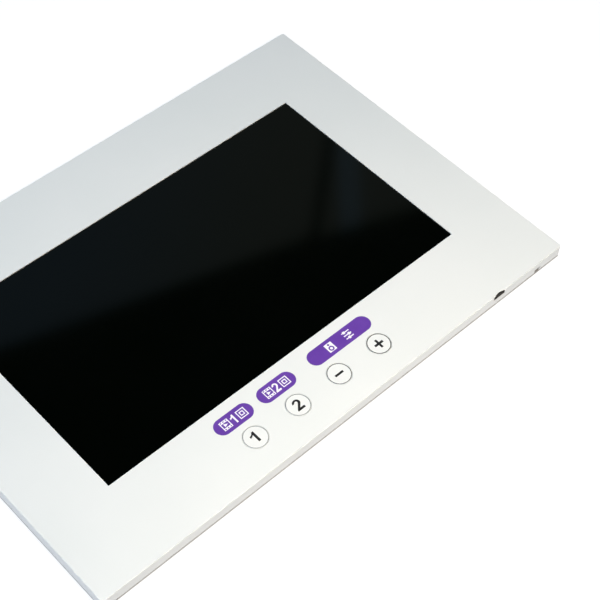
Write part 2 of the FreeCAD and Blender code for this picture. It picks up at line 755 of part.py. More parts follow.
def make_key_board():
    """The strip of circuit board that carries the four switches, its screws and its ribbon."""
    size = ("key_board_width", "key_board_height", "key_board_thick")
    board = block("key_strip", "key_board_x", "key_board_y", KEY_BOARD_BACK, *size)
    holes = [
        drum(f"key_strip_hole_{i}", x, y, f"{KEY_BOARD_BACK} - 1", "small_screw + 0.2", 3)
        for i, (x, y) in enumerate(KEY_BOARD_SCREWS)
    ]
    keep(cut("key_strip_drilled", board, *holes), "key_board")
    keep_small_screws("key_board_screws", KEY_BOARD_SCREWS, KEY_BOARD_BACK, "key_board_thick + 2.2")
    low = f"({BOARD_BACK} - 0.62)"
    start = "(key_board_x + key_board_width/2)"
    thick = 0.12
    strip_level = f"({KEY_BOARD_BACK} - {thick})"
    rise = f"{low} + {thick} - {strip_level}"
    reach = f"(board_left + 1 - {start})"
    on_strip = block("key_flex_on", f"{start} - 1.2", "key_board_y", strip_level, 2.5, 6, thick)
    upward = block("key_flex_up", f"{start} + {thick}/2", "key_board_y", strip_level, thick, 6, rise)
    across = block("key_flex_across", f"{start} + {reach}/2", "key_board_y", low, reach, 6, thick)
    keep(fuse("key_flex", on_strip, upward, across), "key_ribbon")


def keep_small_screws(label, places, head_top, length):
    """Low-head screws, driven from the back: the head's face is against the level head_top."""
    screws = []
    for i, (x, y) in enumerate(places):
        head = drum(
            f"{label}_head_{i}",
            x,
            y,
            f"{head_top} - small_screw_head_height",
            "small_screw_head",
            "small_screw_head_height",
        )
        shank = drum(f"{label}_shank_{i}", x, y, head_top, "small_screw - 0.04", length)
        slots = [
            block(f"{label}_slot_{i}_{k}", x, y, f"{head_top} - small_screw_head_height - 0.1", w, h, "0.4")
            for k, (w, h) in enumerate(((1.5, 0.35), (0.35, 1.5)))
        ]
        screws.append(cut(f"{label}_{i}", fuse(f"{label}_blank_{i}", head, shank), *slots))
    keep(group(f"{label}_set", *screws), label)


# ---------------------------------------------------------------- main board, port and power switch


def make_main_board():
    """The main board with its chips, power parts, connectors and screws."""
    board = block(
        "board_plate",
        "(board_left + board_right)/2",
        "(board_low + board_high)/2",
        BOARD_BACK,
        "board_right - board_left",
        "board_high - board_low",
        "board_thick",
    )
    holes = [
        drum(f"board_hole_{i}", x, y, f"{BOARD_BACK} - 1", "small_screw + 0.2", 3)
        for i, (x, y) in enumerate(BOARD_SCREWS)
    ]
    keep(cut("board_drilled", board, *holes), "main_board")
    keep_small_screws("main_board_screws", BOARD_SCREWS, BOARD_BACK, "board_thick + 1.9")

    def chip(name, x, y, width, height, thick):
        return block(name, x, y, f"{BOARD_BACK} - {thick}", width, height, thick)

    keep(chip("cpu", 92, -91, 14, 14, 1.0), "processor_chip")
    memory = [chip("memory_0", 107.5, -90, 8, 12, 0.9), chip("memory_1", 118, -92, 8, 6, 0.8)]
    keep(group("memory", *memory), "memory_chips")
    power = [
        chip("coil", 127, -93.5, 5, 5, 1.5),
        chip("reservoir_0", 120.5, -86, 3.2, 1.6, 1.2),
        chip("reservoir_1", 120.5, -83.2, 3.2, 1.6, 1.2),
        chip("crystal", 78, -97, 3.2, 2.5, 0.7),
        chip("charger", 70, -97, 4, 4, 0.8),
        chip("amplifier", 115, -84, 4, 4, 0.8),
    ]
    keep(group("power_set", *power), "power_components")
    flex_body = chip("flex_body", RIBBON_X, "board_high - 2.4", 23, 4, 0.95)
    flex_gap = block("flex_gap", RIBBON_X, "board_high - 1", f"{BOARD_BACK} - 0.7", RIBBON_WIDTH + 0.4, 3, 0.19)
    flex_socket = cut("flex_socket", flex_body, flex_gap)
    key_body = chip("key_socket_body", "board_left + 2.1", "key_board_y", 4, 9, 0.95)
    key_gap = block("key_gap", "board_left + 1", "key_board_y", f"{BOARD_BACK} - 0.64", 3, 6.2, 0.16)
    key_socket = cut("key_socket", key_body, key_gap)
    plugs = [
        chip("battery_plug", 130.5, "board_high - 2.2", 4.4, 4, 1.8),
        chip("right_plug", 124.5, "board_high - 2.2", 3.4, 4, 1.8),
        chip("left_plug", 106.5, "board_high - 2.2", 3.4, 4, 1.8),
    ]
    keep(group("connector_set", flex_socket, key_socket, *plugs), "board_connectors")


def make_port():
    """The charging socket: a drawn steel shell round a contact tongue."""
    y = f"({BOTTOM_EDGE} + port_set_back + port_length/2)"
    shell = block("port_shell", "port_x", y, BOARD_FRONT, "port_width", "port_length", "port_height")
    inside = block(
        "port_inside",
        "port_x",
        f"{y} - port_steel",
        f"{BOARD_FRONT} + port_steel",
        "port_width - 2*port_steel",
        "port_length",
        "port_height - 2*port_steel",
    )
    rounded = doc.addObject("Part::Chamfer", "port_shell_edge")
    doc.recompute()
    rounded.Base = shell
    low = number(BOARD_FRONT)
    sides = [
        n
        for n, e in enumerate(shell.Shape.Edges, 1)
        if abs(e.tangentAt(e.FirstParameter).y) > 0.9 and e.BoundBox.ZMax < low + 1e-6
    ]
    rounded.Edges = [(n, 0.2, 0.2) for n in sides]
    keep(cut("port_shell_open", rounded, inside), "usb_shell")
    tongue_level = f"{BOARD_FRONT} + 0.8"
    tongue = block("port_tongue", "port_x", f"{y} + 0.5", tongue_level, 3.6, "port_length - 1.5", 0.6)
    root = block(
        "port_root",
        "port_x",
        f"{BOTTOM_EDGE} + port_set_back + port_length - port_steel - 0.4",
        f"{BOARD_FRONT} + port_steel",
        "port_width - 2*port_steel",
        0.8,
        "port_height - 2*port_steel",
    )
    keep(fuse("port_core", tongue, root), "usb_tongue")


def make_power_switch():
    """The slide switch: a body on the back of the board and a knob that slides along the lower wall."""
    low = f"({BOARD_BACK} - slide_height)"
    y = "(board_low + slide_depth/2)"
    body = block("slide_body", "slide_x", y, low, "slide_width", "slide_depth", "slide_height")
    cavity = block("slide_cavity", "slide_x", y, f"{low} + 0.25", 5.0, 1.8, 0.9)
    mouth = block("slide_mouth", "slide_x", "board_low", f"{low} + 0.25", 3.2, 1.0, 0.9)
    keep(cut("slide_shell", body, cavity, mouth), "power_switch_body")
    rest = "(slide_x - slide_travel/2)"
    knob_low = f"({low} + 0.3)"
    knob = block(
        "slide_lever",
        rest,
        "board_low + 0.8 - slide_knob_reach/2",
        knob_low,
        "slide_knob_width",
        "slide_knob_reach + 0.8",
        "slide_knob_height",
    )
    carriage = block("slide_carriage", rest, f"{y} + 0.1", knob_low, 3.0, 1.4, "slide_knob_height")
    tip = "board_low - slide_knob_reach"
    grips = [
        block(f"slide_grip_{i}", f"{rest} + {(i - 1) * 0.4}", tip, knob_low, 0.15, 0.3, 1) for i in range(3)
    ]
    keep(cut("slide_knob", fuse("slide_slider", knob, carriage), *grips), "power_switch_knob")


# ---------------------------------------------------------------- battery, speakers and wiring


def make_battery():
    """A flat lithium cell with its tape and protection board."""
    tape_level = f"({DECK_BACK} - tape_thick)"
    size = ("battery_width", "battery_height", "battery_thick")
    cell = block("cell_block", 0, "battery_y", f"{tape_level} - battery_thick", *size)
    rounded = doc.addObject("Part::Fillet", "cell_edge")
    doc.recompute()
    rounded.Base = cell
    ends = [n for n, e in enumerate(cell.Shape.Edges, 1) if abs(e.tangentAt(e.FirstParameter).y) > 0.9]
    rounded.Edges = [(n, 1.2, 1.2) for n in ends]
    keep(rounded, "battery_cell")
    keep(
        block("tape", 0, "battery_y", tape_level, "battery_width - 20", "battery_height - 8", "tape_thick"),
        "battery_tape",
    )
    guard_level = f"{COVER_FRONT} + 0.8"
    guard = block("guard", "battery_width/2 + 2.3", "battery_y", guard_level, 4, "battery_height - 4", 1.0)
    keep(guard, "battery_protection_board")


def make_speaker(name, side):
    """A flat speaker that faces backwards: frame, magnet pot, and diaphragm with its voice coil."""
    x, y = f"{side}*speaker_x", "speaker_y"
    low = f"({COVER_FRONT} + 0.5)"
    frame = Piece(f"{name}_basket")
    frame.pad(low, "speaker_thick", rectangle(x, y, "speaker_width", "speaker_height"))
    frame.fillet(2.5, upright)
    frame.pocket(
        f"{low} + 1.0", "1.0", rectangle(x, y, "speaker_width - 2.6", "speaker_height - 2.6")
    )
    frame.pocket(f"{low} + speaker_thick", "speaker_thick - 1.0", circle(x, y, "magnet_diameter + 0.02"))
    keep(frame.body, f"{name}_speaker_frame")

    pot_back = f"({low} + 1.5)"
    pot_height = "speaker_thick - 1.5"
    pot = drum(f"{name}_pot", x, y, pot_back, "magnet_diameter", pot_height)
    gap = drum(f"{name}_pot_gap", x, y, f"{pot_back} - 1", "coil_diameter + 1.2", f"{pot_height} + 0.4")
    core = drum(f"{name}_pot_core", x, y, pot_back, "coil_diameter - 1.2", pot_height)
    keep(fuse(f"{name}_magnet", cut(f"{name}_pot_open", pot, gap), core), f"{name}_speaker_magnet")

    skin = block(
        f"{name}_skin", x, y, f"{low} + 0.75", "speaker_width - 2.8", "speaker_height - 2.8", 0.25
    )
    bowl = drum(f"{name}_bowl", x, y, f"{low} + 0.55", "coil_diameter", 0.3)
    coil = cut(
        f"{name}_coil",
        drum(f"{name}_coil_outer", x, y, f"{low} + 0.9", "coil_diameter + 0.5", 1.4),
        drum(f"{name}_coil_inner", x, y, f"{low}", "coil_diameter - 0.1", 4),
    )
    keep(fuse(f"{name}_cone", skin, bowl, coil), f"{name}_speaker_diaphragm")


def make_speaker_gaskets():
    """Foam rings between the speakers and the back cover."""
    rings = [
        ring(
            f"speaker_seal_{i}",
            f"{side}*speaker_x",
            "speaker_y",
            f"{COVER_FRONT} + 0.02",
            ("speaker_width - 0.4", "speaker_height - 0.4"),
            ("speaker_width - 3", "speaker_height - 3"),
            "0.46",
        )
        for i, side in enumerate((-1, 1))
    ]
    keep(group("speaker_seals", *rings), "speaker_gaskets")


def wire(points, z, corner_radius):
    """A wire at height z through flat route points, with each corner rounded by an arc."""
    route = [Vector(x, y, z) for x, y in points]
    edges = []
    start = route[0]
    for before, corner, after in zip(route, route[1:], route[2:]):
        into = (corner - before).normalize()
        out = (after - corner).normalize()
        arrive, leave = corner - into * corner_radius, corner + out * corner_radius
        middle = corner + (out - into) * (corner_radius * (1 - math.sqrt(0.5)))
        edges += [Part.LineSegment(start, arrive).toShape(), Part.Arc(arrive, middle, leave).toShape()]
        start = leave
    edges.append(Part.LineSegment(start, route[-1]).toShape())
    path = Part.Wire(edges)
    heading = (route[1] - route[0]).normalize()
    radius = number("wire_diameter") / 2
    section = Part.Wire(Part.makeCircle(radius, route[0], heading))
    tube = path.makePipeShell([section], True, True)
    expected = math.pi * radius**2 * path.Length
    if abs(tube.Volume - expected) > 0.02 * expected:
        raise RuntimeError("a wire's volume isn't its section times its length")
    return tube


def keep_wires(label, wires):
    """A set of wires as one node."""
    loom = doc.addObject("Part::Feature", label + "_loom")
    loom.Shape = Part.makeCompound(wires)
    keep(loom, label)


def make_wiring():
    """The battery's pair of leads and each speaker's pair, laid in the bays beside the display."""
    pitch = number("wire_diameter") + 0.1
    plug_top = number("board_high") - 0.2
    level = number(f"{COVER_FRONT} + 0.95")
    low_level = number(f"{COVER_FRONT} + 0.55")

    guard_x = number("battery_width/2 + 4.3")
    channel = number("panel_width/2 - wall") - 0.55
    battery_pair = []
    for i in (0, 1):
        x, y, across = channel - (1 - i) * pitch, 75.5 + i * pitch, -71.5 - i * pitch
        drop = 131.0 - i * pitch
        route = [(guard_x, y), (x, y), (x, across), (drop, across), (drop, plug_top)]
        battery_pair.append(wire(route, level, 3.0))
    keep_wires("battery_leads", battery_pair)

    speaker_end = number("speaker_y - speaker_height/2")
    speaker_pairs = []
    for i in (0, 1):
        x = 124.0 + i * pitch
        speaker_pairs.append(wire([(x, speaker_end), (x, plug_top)], level, 0))
        across = -76.6 - i * pitch
        drop = 107.0 - i * pitch
        route = [(-x, speaker_end), (-x, across), (drop, across), (drop, plug_top)]
        speaker_pairs.append(wire(route, low_level, 1.0))
    keep_wires("speaker_leads", speaker_pairs)


# ---------------------------------------------------------------- build, check and write


def check_document():
    """Stops if any object failed, or if a sub-part's shape is empty or invalid."""
    doc.recompute()
    failed = [o.Name for o in doc.Objects if "Invalid" in o.State or "Error" in o.State]
    if failed:
        raise RuntimeError(f"objects failed: {failed}")
    for part in SUB_PARTS:
        shape = part.Shape
        if shape.isNull() or not shape.isValid() or not shape.Solids:
            raise RuntimeError(f"{part.Label} has no valid solid")
    labels = [part.Label for part in SUB_PARTS]
    if len(set(labels)) != len(labels):
        raise RuntimeError("two sub-parts share a label")


def write_parts():
    """Writes each sub-part to parts/LABEL.step."""
    os.makedirs("parts", exist_ok=True)
    for part in SUB_PARTS:
        part.Shape.exportStep(f"parts/{part.Label}.step")
    print(len(SUB_PARTS), "sub-parts written")


make_front_sheet()
make_frame()
make_back_cover()
make_cover_screws()
make_rubber_feet()
make_display_front()
make_backlight()
make_display_ribbon()
make_foam_pads()
for key, (key_x, key_y) in zip(KEY_NAMES, KEY_PLACES):
    make_key(key, key_x, key_y)
make_key_board()
make_main_board()
make_port()
make_power_switch()
make_battery()
make_speaker("left", -1)
make_speaker("right", 1)
make_speaker_gaskets()
make_wiring()
check_document()
write_parts()
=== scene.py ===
# %% [markdown]
# # A flat video monitor panel
# The panel is an A4 sheet of white plastic, eight millimetres thick with its feet, with a black widescreen
# display and a row of four round push keys. The CAD model gives every piece its place and size, and this
# lesson gives them their looks. It starts by loading the CAD model, and measures it before anything is added.

# %% Load the frame
import math

import bpy
import numpy as np
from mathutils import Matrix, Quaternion, Vector
from mathutils.geometry import delaunay_2d_cdt


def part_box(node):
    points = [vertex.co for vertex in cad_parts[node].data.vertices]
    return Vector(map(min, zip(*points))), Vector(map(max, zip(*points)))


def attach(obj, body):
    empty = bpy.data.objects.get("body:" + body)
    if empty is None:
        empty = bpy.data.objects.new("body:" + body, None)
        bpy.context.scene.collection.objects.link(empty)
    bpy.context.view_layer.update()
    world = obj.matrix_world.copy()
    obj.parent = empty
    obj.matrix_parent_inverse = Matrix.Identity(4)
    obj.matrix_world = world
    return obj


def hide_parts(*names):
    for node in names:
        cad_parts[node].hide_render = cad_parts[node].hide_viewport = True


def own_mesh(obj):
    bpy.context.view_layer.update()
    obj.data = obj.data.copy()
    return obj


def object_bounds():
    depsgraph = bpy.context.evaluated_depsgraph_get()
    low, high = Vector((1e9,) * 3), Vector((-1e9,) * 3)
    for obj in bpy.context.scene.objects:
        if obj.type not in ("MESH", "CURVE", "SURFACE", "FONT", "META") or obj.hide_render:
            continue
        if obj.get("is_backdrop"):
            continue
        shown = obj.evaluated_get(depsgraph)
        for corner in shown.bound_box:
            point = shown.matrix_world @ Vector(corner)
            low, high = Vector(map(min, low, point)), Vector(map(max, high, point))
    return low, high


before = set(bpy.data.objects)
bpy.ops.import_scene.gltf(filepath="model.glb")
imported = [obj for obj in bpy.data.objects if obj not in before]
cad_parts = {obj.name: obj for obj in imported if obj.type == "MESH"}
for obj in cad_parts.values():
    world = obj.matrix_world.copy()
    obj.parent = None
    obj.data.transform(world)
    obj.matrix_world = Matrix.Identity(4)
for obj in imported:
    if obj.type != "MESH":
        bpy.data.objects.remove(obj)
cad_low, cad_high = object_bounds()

MM = 0.001
print("CAD box in mm:", [round(v / MM, 2) for v in (*cad_low, *cad_high)])

# %% [markdown]
# ## One place for every size
# Blender works in metres and a maker thinks in millimetres, so lengths below are in millimetres and are
# turned to metres once, when a mesh is made. Levels are read from the CAD nodes: the panel's face is the top
# of the front sheet. Ink needs a real thickness to be seen, so the sheet and the key caps end 0.03 mm
# lower, and the ink fills that last step. Nothing then stands out of the CAD box.

# %% Levels and places
def limits(node):
    """The lowest and highest corner of a CAD node, in millimetres."""
    low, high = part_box(node)
    return np.array(low) / MM, np.array(high) / MM


sheet_low, sheet_high = limits("front_sheet")
FACE = sheet_high[2]
INK = 0.03
PANEL = (sheet_high - sheet_low)[:2]
KEY_NAMES = ("one", "two", "minus", "plus")
KEYS = {name: (limits(f"key_cap_{name}")[0] + limits(f"key_cap_{name}")[1])[:2] / 2 for name in KEY_NAMES}
print("face level", round(FACE, 3), "panel", PANEL.round(2))
print("keys at", {key: place.round(2) for key, place in KEYS.items()})

# %% [markdown]
# ## Colour and material nodes
# A designer's colour is an sRGB hex value, and a shader works with linear light, so one function turns the
# first into the second. A finish is a small tree of nodes. Rather than write ten lines for each node, one
# function adds any node, sets its settings, and links or sets its inputs.

# %% Colour and node helpers
def linear(hex_colour):
    """sRGB hex to linear RGBA: c/12.92 up to 0.04045, and ((c + 0.055)/1.055)^2.4 above it."""
    c = np.array([int(hex_colour[i : i + 2], 16) for i in (1, 3, 5)]) / 255
    c = np.where(c <= 0.04045, c / 12.92, ((c + 0.055) / 1.055) ** 2.4)
    return (*c.tolist(), 1.0)


def add(tree, kind, settings=None, **inputs):
    """Adds a node. settings are its properties; each input is a socket to link from, or a value to set."""
    node = tree.nodes.new(kind)
    for key, value in (settings or {}).items():
        setattr(node, key, value)
    for key, value in inputs.items():
        socket = node.inputs[int(key[1:])] if key[0] == "_" else node.inputs[key.replace("_", " ")]
        if isinstance(value, bpy.types.NodeSocket):
            tree.links.new(value, socket)
        else:
            socket.default_value = value
    return node


def blank(name):
    """A new material with only a Principled shader: returns the material, its tree and the shader."""
    material = bpy.data.materials.new(name)
    material.use_nodes = True
    tree = material.node_tree
    return material, tree, next(n for n in tree.nodes if n.type == "BSDF_PRINCIPLED")


def per_mm(size):
    """The scale of a pattern on Object coordinates, which are in metres, for features of that many mm."""
    return 1000 / size


print("mid grey #808080 is", round(linear("#808080")[0], 3), "in linear light")

# %% [markdown]
# ## Moulded, rolled and painted finishes
# Most surfaces differ in the same few ways: two shades that drift into each other, a grain of a certain size
# that the tool or the spray gun left, and a roughness that isn't quite even. One function makes that family,
# and each finish states its own sizes. Grain too fine to see would only be noise, so it is drawn at about
# half a millimetre on the large white parts, where the true spark-eroded texture is nearer 0.1 mm.

# %% The general finish
def finish(name, colours, roughness, grain, relief, drift=25.0, metallic=0.0, ior=1.5, stretch=(1, 1, 1)):
    """colours: two hex shades. roughness: (low, high). grain, drift: feature sizes in mm. relief: height in mm."""
    material, tree, shader = blank(name)
    place = add(tree, "ShaderNodeTexCoord").outputs["Object"]
    place = add(tree, "ShaderNodeMapping", Vector=place, Scale=stretch).outputs[0]
    wide = add(tree, "ShaderNodeTexNoise", Vector=place, Scale=per_mm(drift), Detail=3.0).outputs["Fac"]
    fine = add(tree, "ShaderNodeTexNoise", Vector=place, Scale=per_mm(grain), Detail=4.0).outputs["Fac"]
    both = add(tree, "ShaderNodeMath", {"operation": "MULTIPLY_ADD"}, _0=fine, _1=0.35, _2=wide).outputs[0]
    ramp = add(tree, "ShaderNodeValToRGB", Fac=both)
    for stop, colour, at in zip(ramp.color_ramp.elements, colours, (0.45, 0.9)):
        stop.color, stop.position = linear(colour), at
    spread = add(tree, "ShaderNodeMapRange", Value=both, From_Min=0.45, From_Max=0.9,
                 To_Min=roughness[0], To_Max=roughness[1])
    bump = add(tree, "ShaderNodeBump", Height=fine, Strength=1.0, Distance=relief * MM)
    tree.links.new(ramp.outputs[0], shader.inputs["Base Color"])
    tree.links.new(spread.outputs[0], shader.inputs["Roughness"])
    tree.links.new(bump.outputs[0], shader.inputs["Normal"])
    shader.inputs["Metallic"].default_value = metallic
    shader.inputs["IOR"].default_value = ior
    return material


print("the general finish takes", finish.__code__.co_argcount, "settings")

# %% [markdown]
# ## White plastics
# The casing is injection-moulded ABS: white pigment, a fine spark-eroded texture, and a soft sheen at low
# angles. The face is a printed polycarbonate sheet, back-coated white, and a little smoother and brighter
# than the casing. The key caps are cut from the same white but polished by fingers.

# %% White finishes
spark_eroded_abs = finish("white_abs_spark_eroded", ("#D8DADC", "#E0E2E4"), (0.42, 0.55), 0.5, 0.010, 40)
printed_polycarbonate = finish("white_polycarbonate_sheet", ("#E8EAE8", "#ECEDEB"), (0.34, 0.44), 0.45, 0.004,
                               60)
polished_key_abs = finish("white_abs_key_cap", ("#EBECEA", "#EFF0EE"), (0.30, 0.38), 0.4, 0.002, 12)
print("white finishes:", spark_eroded_abs.name, printed_polycarbonate.name, polished_key_abs.name)

# %% [markdown]
# ## The display's polariser
# A display that is switched off looks black because two crossed polarisers take nearly all the light. What is
# left is the reflection in the hard coat on the front film, like dark glass: IOR 1.5, with a trace of haze.
# The haze isn't perfectly even, so a slow noise moves the roughness by a hundredth or two.

# %% Hard-coated polariser
hard_coated_polariser = finish("hard_coated_polariser", ("#010201", "#020302"), (0.035, 0.055), 3.0, 0.00002,
                               70)
print("display finish:", hard_coated_polariser.name)

# %% [markdown]
# ## Inks
# Screen ink is a thin, even, slightly satin film. Its only texture is the faint mesh of the screen it was
# pressed through, drawn here at 0.3 mm. The purple is the fields' colour, the white is left for the symbols,
# and the near-black is for the keys' numerals. Two greys and the near-black also paint shade: thin dark rings
# round the keys stand for the shaded gap between each cap and its hole.

# %% Inks
purple_ink = finish("purple_screen_ink", ("#62399F", "#6A40A6"), (0.38, 0.46), 0.3, 0.001, 8)
white_ink = finish("white_screen_ink", ("#F3F0F8", "#FAF8FC"), (0.4, 0.5), 0.3, 0.001, 8)
black_ink = finish("black_screen_ink", ("#101112", "#17181A"), (0.36, 0.46), 0.3, 0.001, 8)
# These two greys are painted shade: the dark line of the gap round the key caps.
grey_ink = finish("grey_gap_shade_ink", ("#33363A", "#3C3F43"), (0.4, 0.5), 0.3, 0.001, 8)
pale_grey_ink = finish("pale_grey_gap_shade_ink", ("#7C8084", "#888B8F"), (0.4, 0.5), 0.3, 0.001, 8)
print("inks made:", len([m for m in bpy.data.materials if m.name.endswith("ink")]))

# %% [markdown]
# ## Metals
# Cold-rolled steel keeps the long, faint scratches of the rolls, so its noise is stretched along X. Zinc plate
# on the screws is brighter and cloudy. Spring steel is clean and bright. The contacts are gold over nickel.

# %% Metals
rolled_steel = finish("cold_rolled_steel", ("#A9ABAD", "#BFC0C2"), (0.26, 0.42), 0.25, 0.002, 20, 1.0,
                      stretch=(0.05, 1, 1))
zinc_plate = finish("zinc_plated_steel", ("#B4B6B8", "#CFD0D1"), (0.22, 0.38), 0.3, 0.002, 2, 1.0)
spring_steel = finish("bright_spring_steel", ("#BDBCB6", "#CBCAC4"), (0.16, 0.26), 0.2, 0.001, 3, 1.0)
nickel_plate = finish("nickel_plated_iron", ("#A8A7A2", "#BAB9B4"), (0.2, 0.34), 0.4, 0.002, 6, 1.0)
gold_contact = finish("gold_over_nickel", ("#D9A441", "#E8BC5E"), (0.18, 0.28), 0.2, 0.001, 2, 1.0)
battery_foil = finish("aluminium_laminate_foil", ("#B9BCC0", "#C9CCCF"), (0.3, 0.46), 1.2, 0.02, 18, 1.0)
print("metals made, the last is", battery_foil.name)

# %% [markdown]
# ## Rubber, foam, films and moulded blacks
# Silicone feet are matt and slightly dusty. Foam has open cells, drawn at 0.8 mm. The sheets behind the screen
# are clear acrylic and white film. The small black mouldings are glass-filled nylon and epoxy.

# %% Soft and dark finishes
silicone_rubber = finish("black_silicone_rubber", ("#1C1C1D", "#262627"), (0.6, 0.8), 0.4, 0.01, 5)
open_cell_foam = finish("open_cell_foam", ("#2A2A2C", "#3C3C3F"), (0.85, 0.97), 0.8, 0.15, 6)
acrylic_guide = finish("clear_acrylic_guide", ("#DDE6E5", "#E9F0EF"), (0.04, 0.1), 2.0, 0.0005, 40, ior=1.49)
thin_glass = finish("aluminosilicate_glass", ("#5E6664", "#6B7371"), (0.03, 0.07), 3.0, 0.0002, 60, ior=1.52)
white_film = finish("white_diffuser_film", ("#ECECEA", "#F4F4F2"), (0.35, 0.5), 0.3, 0.002, 30)
black_tape = finish("black_adhesive_tape", ("#0E0E0F", "#171718"), (0.5, 0.66), 0.5, 0.006, 8)
natural_nylon = finish("natural_nylon", ("#D6D2C6", "#E0DCD1"), (0.35, 0.5), 0.4, 0.006, 10)
glass_filled_nylon = finish("black_glass_filled_nylon", ("#141415", "#1F1F20"), (0.45, 0.6), 0.35, 0.006, 6)
mould_compound = finish("epoxy_mould_compound", ("#18191B", "#222325"), (0.5, 0.64), 0.25, 0.004, 4)
bare_silicon = finish("ground_silicon", ("#2B2E34", "#383B42"), (0.12, 0.2), 0.5, 0.0005, 6, 0.4)
speaker_film = finish("speaker_membrane_film", ("#1B1C1E", "#28292B"), (0.3, 0.42), 0.6, 0.004, 8)
wire_sleeve = finish("red_pvc_sleeve", ("#8E1410", "#A11B15"), (0.34, 0.46), 0.3, 0.002, 6)
polyimide = finish("copper_polyimide_flex", ("#8A5410", "#A86A1B"), (0.24, 0.36), 0.5, 0.004, 5, 0.2)
print("soft and dark finishes made")

# %% [markdown]
# ## Circuit board
# A board is green solder mask over copper. The mask is darker between the tracks and lighter over them, so a
# brick pattern with long thin bricks stands in for runs of tracks 0.8 mm apart. It also raises them a little.

# %% Solder mask
solder_mask, tree, shader = blank("green_solder_mask")
place = add(tree, "ShaderNodeTexCoord").outputs["Object"]
wobble = add(tree, "ShaderNodeTexNoise", Vector=place, Scale=per_mm(6.0), Detail=2.0).outputs["Color"]
bent = add(tree, "ShaderNodeMixRGB", {"blend_type": "LINEAR_LIGHT"}, Fac=0.0012, Color1=place,
           Color2=wobble).outputs[0]
tracks = add(tree, "ShaderNodeTexBrick", {"offset": 0.37, "squash": 1.6, "squash_frequency": 3}, Vector=bent,
             Color1=linear("#0F5A30"), Color2=linear("#12693A"), Mortar=linear("#0A3F22"), Scale=per_mm(1.0),
             Mortar_Size=0.16, Brick_Width=7.0, Row_Height=0.8)
tree.links.new(tracks.outputs["Color"], shader.inputs["Base Color"])
relief = add(tree, "ShaderNodeBump", {"invert": True}, Height=tracks.outputs["Fac"], Strength=0.6,
             Distance=0.03 * MM)
tree.links.new(relief.outputs[0], shader.inputs["Normal"])
shader.inputs["Roughness"].default_value = 0.28
shader.inputs["Coat Weight"].default_value = 0.4
shader.inputs["Coat Roughness"].default_value = 0.12
print("solder mask made")

# %% [markdown]
# ## Which finish goes on which CAD node
# Every CAD node gets a finish, also the ones inside the closed casing, because the model may be opened up.
# The table lists the nodes of each finish; names that repeat for each key or speaker are filled in.

# %% Dress the CAD nodes
DRESSED = {
    spark_eroded_abs: "frame back_cover",
    printed_polycarbonate: "front_sheet",
    polished_key_abs: "key_cap_*",
    hard_coated_polariser: "front_polariser",
    thin_glass: "colour_filter_glass tft_glass",
    acrylic_guide: "light_guide",
    white_film: "optical_films reflector_sheet led_bar",
    rolled_steel: "lcd_bezel lcd_back_plate usb_shell power_switch_body",
    zinc_plate: "cover_screws key_board_screws main_board_screws",
    spring_steel: "snap_dome_*",
    nickel_plate: "left_speaker_magnet right_speaker_magnet",
    battery_foil: "battery_cell",
    silicone_rubber: "rubber_feet",
    open_cell_foam: "foam_pads speaker_gaskets",
    black_tape: "lcd_gasket battery_tape",
    natural_nylon: "backlight_frame board_connectors",
    glass_filled_nylon: "power_switch_knob usb_tongue switch_plunger_* left_speaker_frame right_speaker_frame",
    mould_compound: "processor_chip memory_chips power_components switch_housing_*",
    bare_silicon: "lcd_driver_chips",
    speaker_film: "left_speaker_diaphragm right_speaker_diaphragm",
    wire_sleeve: "battery_leads speaker_leads",
    polyimide: "lcd_ribbon key_ribbon",
    solder_mask: "main_board key_board battery_protection_board",
}
dressed = set()
for material, names in DRESSED.items():
    for name in names.split():
        for node in [name.replace("*", key) for key in (KEY_NAMES if "*" in name else [""])]:
            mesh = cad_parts[node].data
            mesh.materials.clear()
            mesh.materials.append(material)
            dressed.add(node)
print("CAD nodes dressed:", len(dressed), "bare:", sorted(set(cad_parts) - dressed))

# %% [markdown]
# ## Turning numbers into a piece
# Each new piece is an array of points and a list of faces, in millimetres in the CAD frame. This function
# makes the mesh in metres, hides the CAD nodes it stands for, and lets it ride on its body.

# %% Make a piece
def piece(name, points, faces, material, body="housing", replaces=(), slot=None, smooth=30):
    """A mesh object at the origin, placed by its points, in mm. An edge bent by over smooth degrees is sharp."""
    mesh = bpy.data.meshes.new(name)
    mesh.from_pydata((np.asarray(points, float) * MM).tolist(), [], [list(map(int, f)) for f in faces])
    mesh.polygons.foreach_set("use_smooth", [smooth > 0] * len(mesh.polygons))
    mesh.set_sharp_from_angle(angle=math.radians(smooth))
    mesh.materials.append(material)
    mesh.update()
    thing = bpy.data.objects.new(name, mesh)
    bpy.context.scene.collection.objects.link(thing)
    if replaces:
        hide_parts(*replaces)
    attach(thing, body)
    print(f"{name}: {len(mesh.vertices)} points, {len(mesh.polygons)} faces")
    return thing


# %% [markdown]
# ## Outlines
# A rounded rectangle is four arcs, and each outline point keeps its outward direction. Carrying a profile
# round it sweeps out an edge: every profile point says how far in from the outline it lies, and at what
# height. A circle is the case where the corner radius is half the width, and a stadium where it is half the
# height.

# %% Outline
def rounded(width, height, radius, centre=(0, 0), steps=16):
    """Points and outward directions: corner centres (+-(w/2 - r), +-(h/2 - r)) plus r (cos t, sin t).

    Where two arcs meet end to end, as in a circle, their common point is kept once."""
    turn = np.linspace(0, np.pi / 2, steps)
    t = (turn + np.arange(4)[:, None] * np.pi / 2).ravel()
    out = np.stack([np.cos(t), np.sin(t)], 1)
    signs = np.repeat([(1, 1), (-1, 1), (-1, -1), (1, -1)], steps, 0)
    middle = signs * (np.array([width, height]) / 2 - radius)
    line = middle + radius * out + np.array(centre)
    apart = np.linalg.norm(line - np.roll(line, 1, 0), axis=1) > 1e-6
    return line[apart], out[apart]


print("points in a rounded rectangle:", len(rounded(4, 2, 0.5)[0]), "in a circle:", len(rounded(2, 2, 1)[0]))

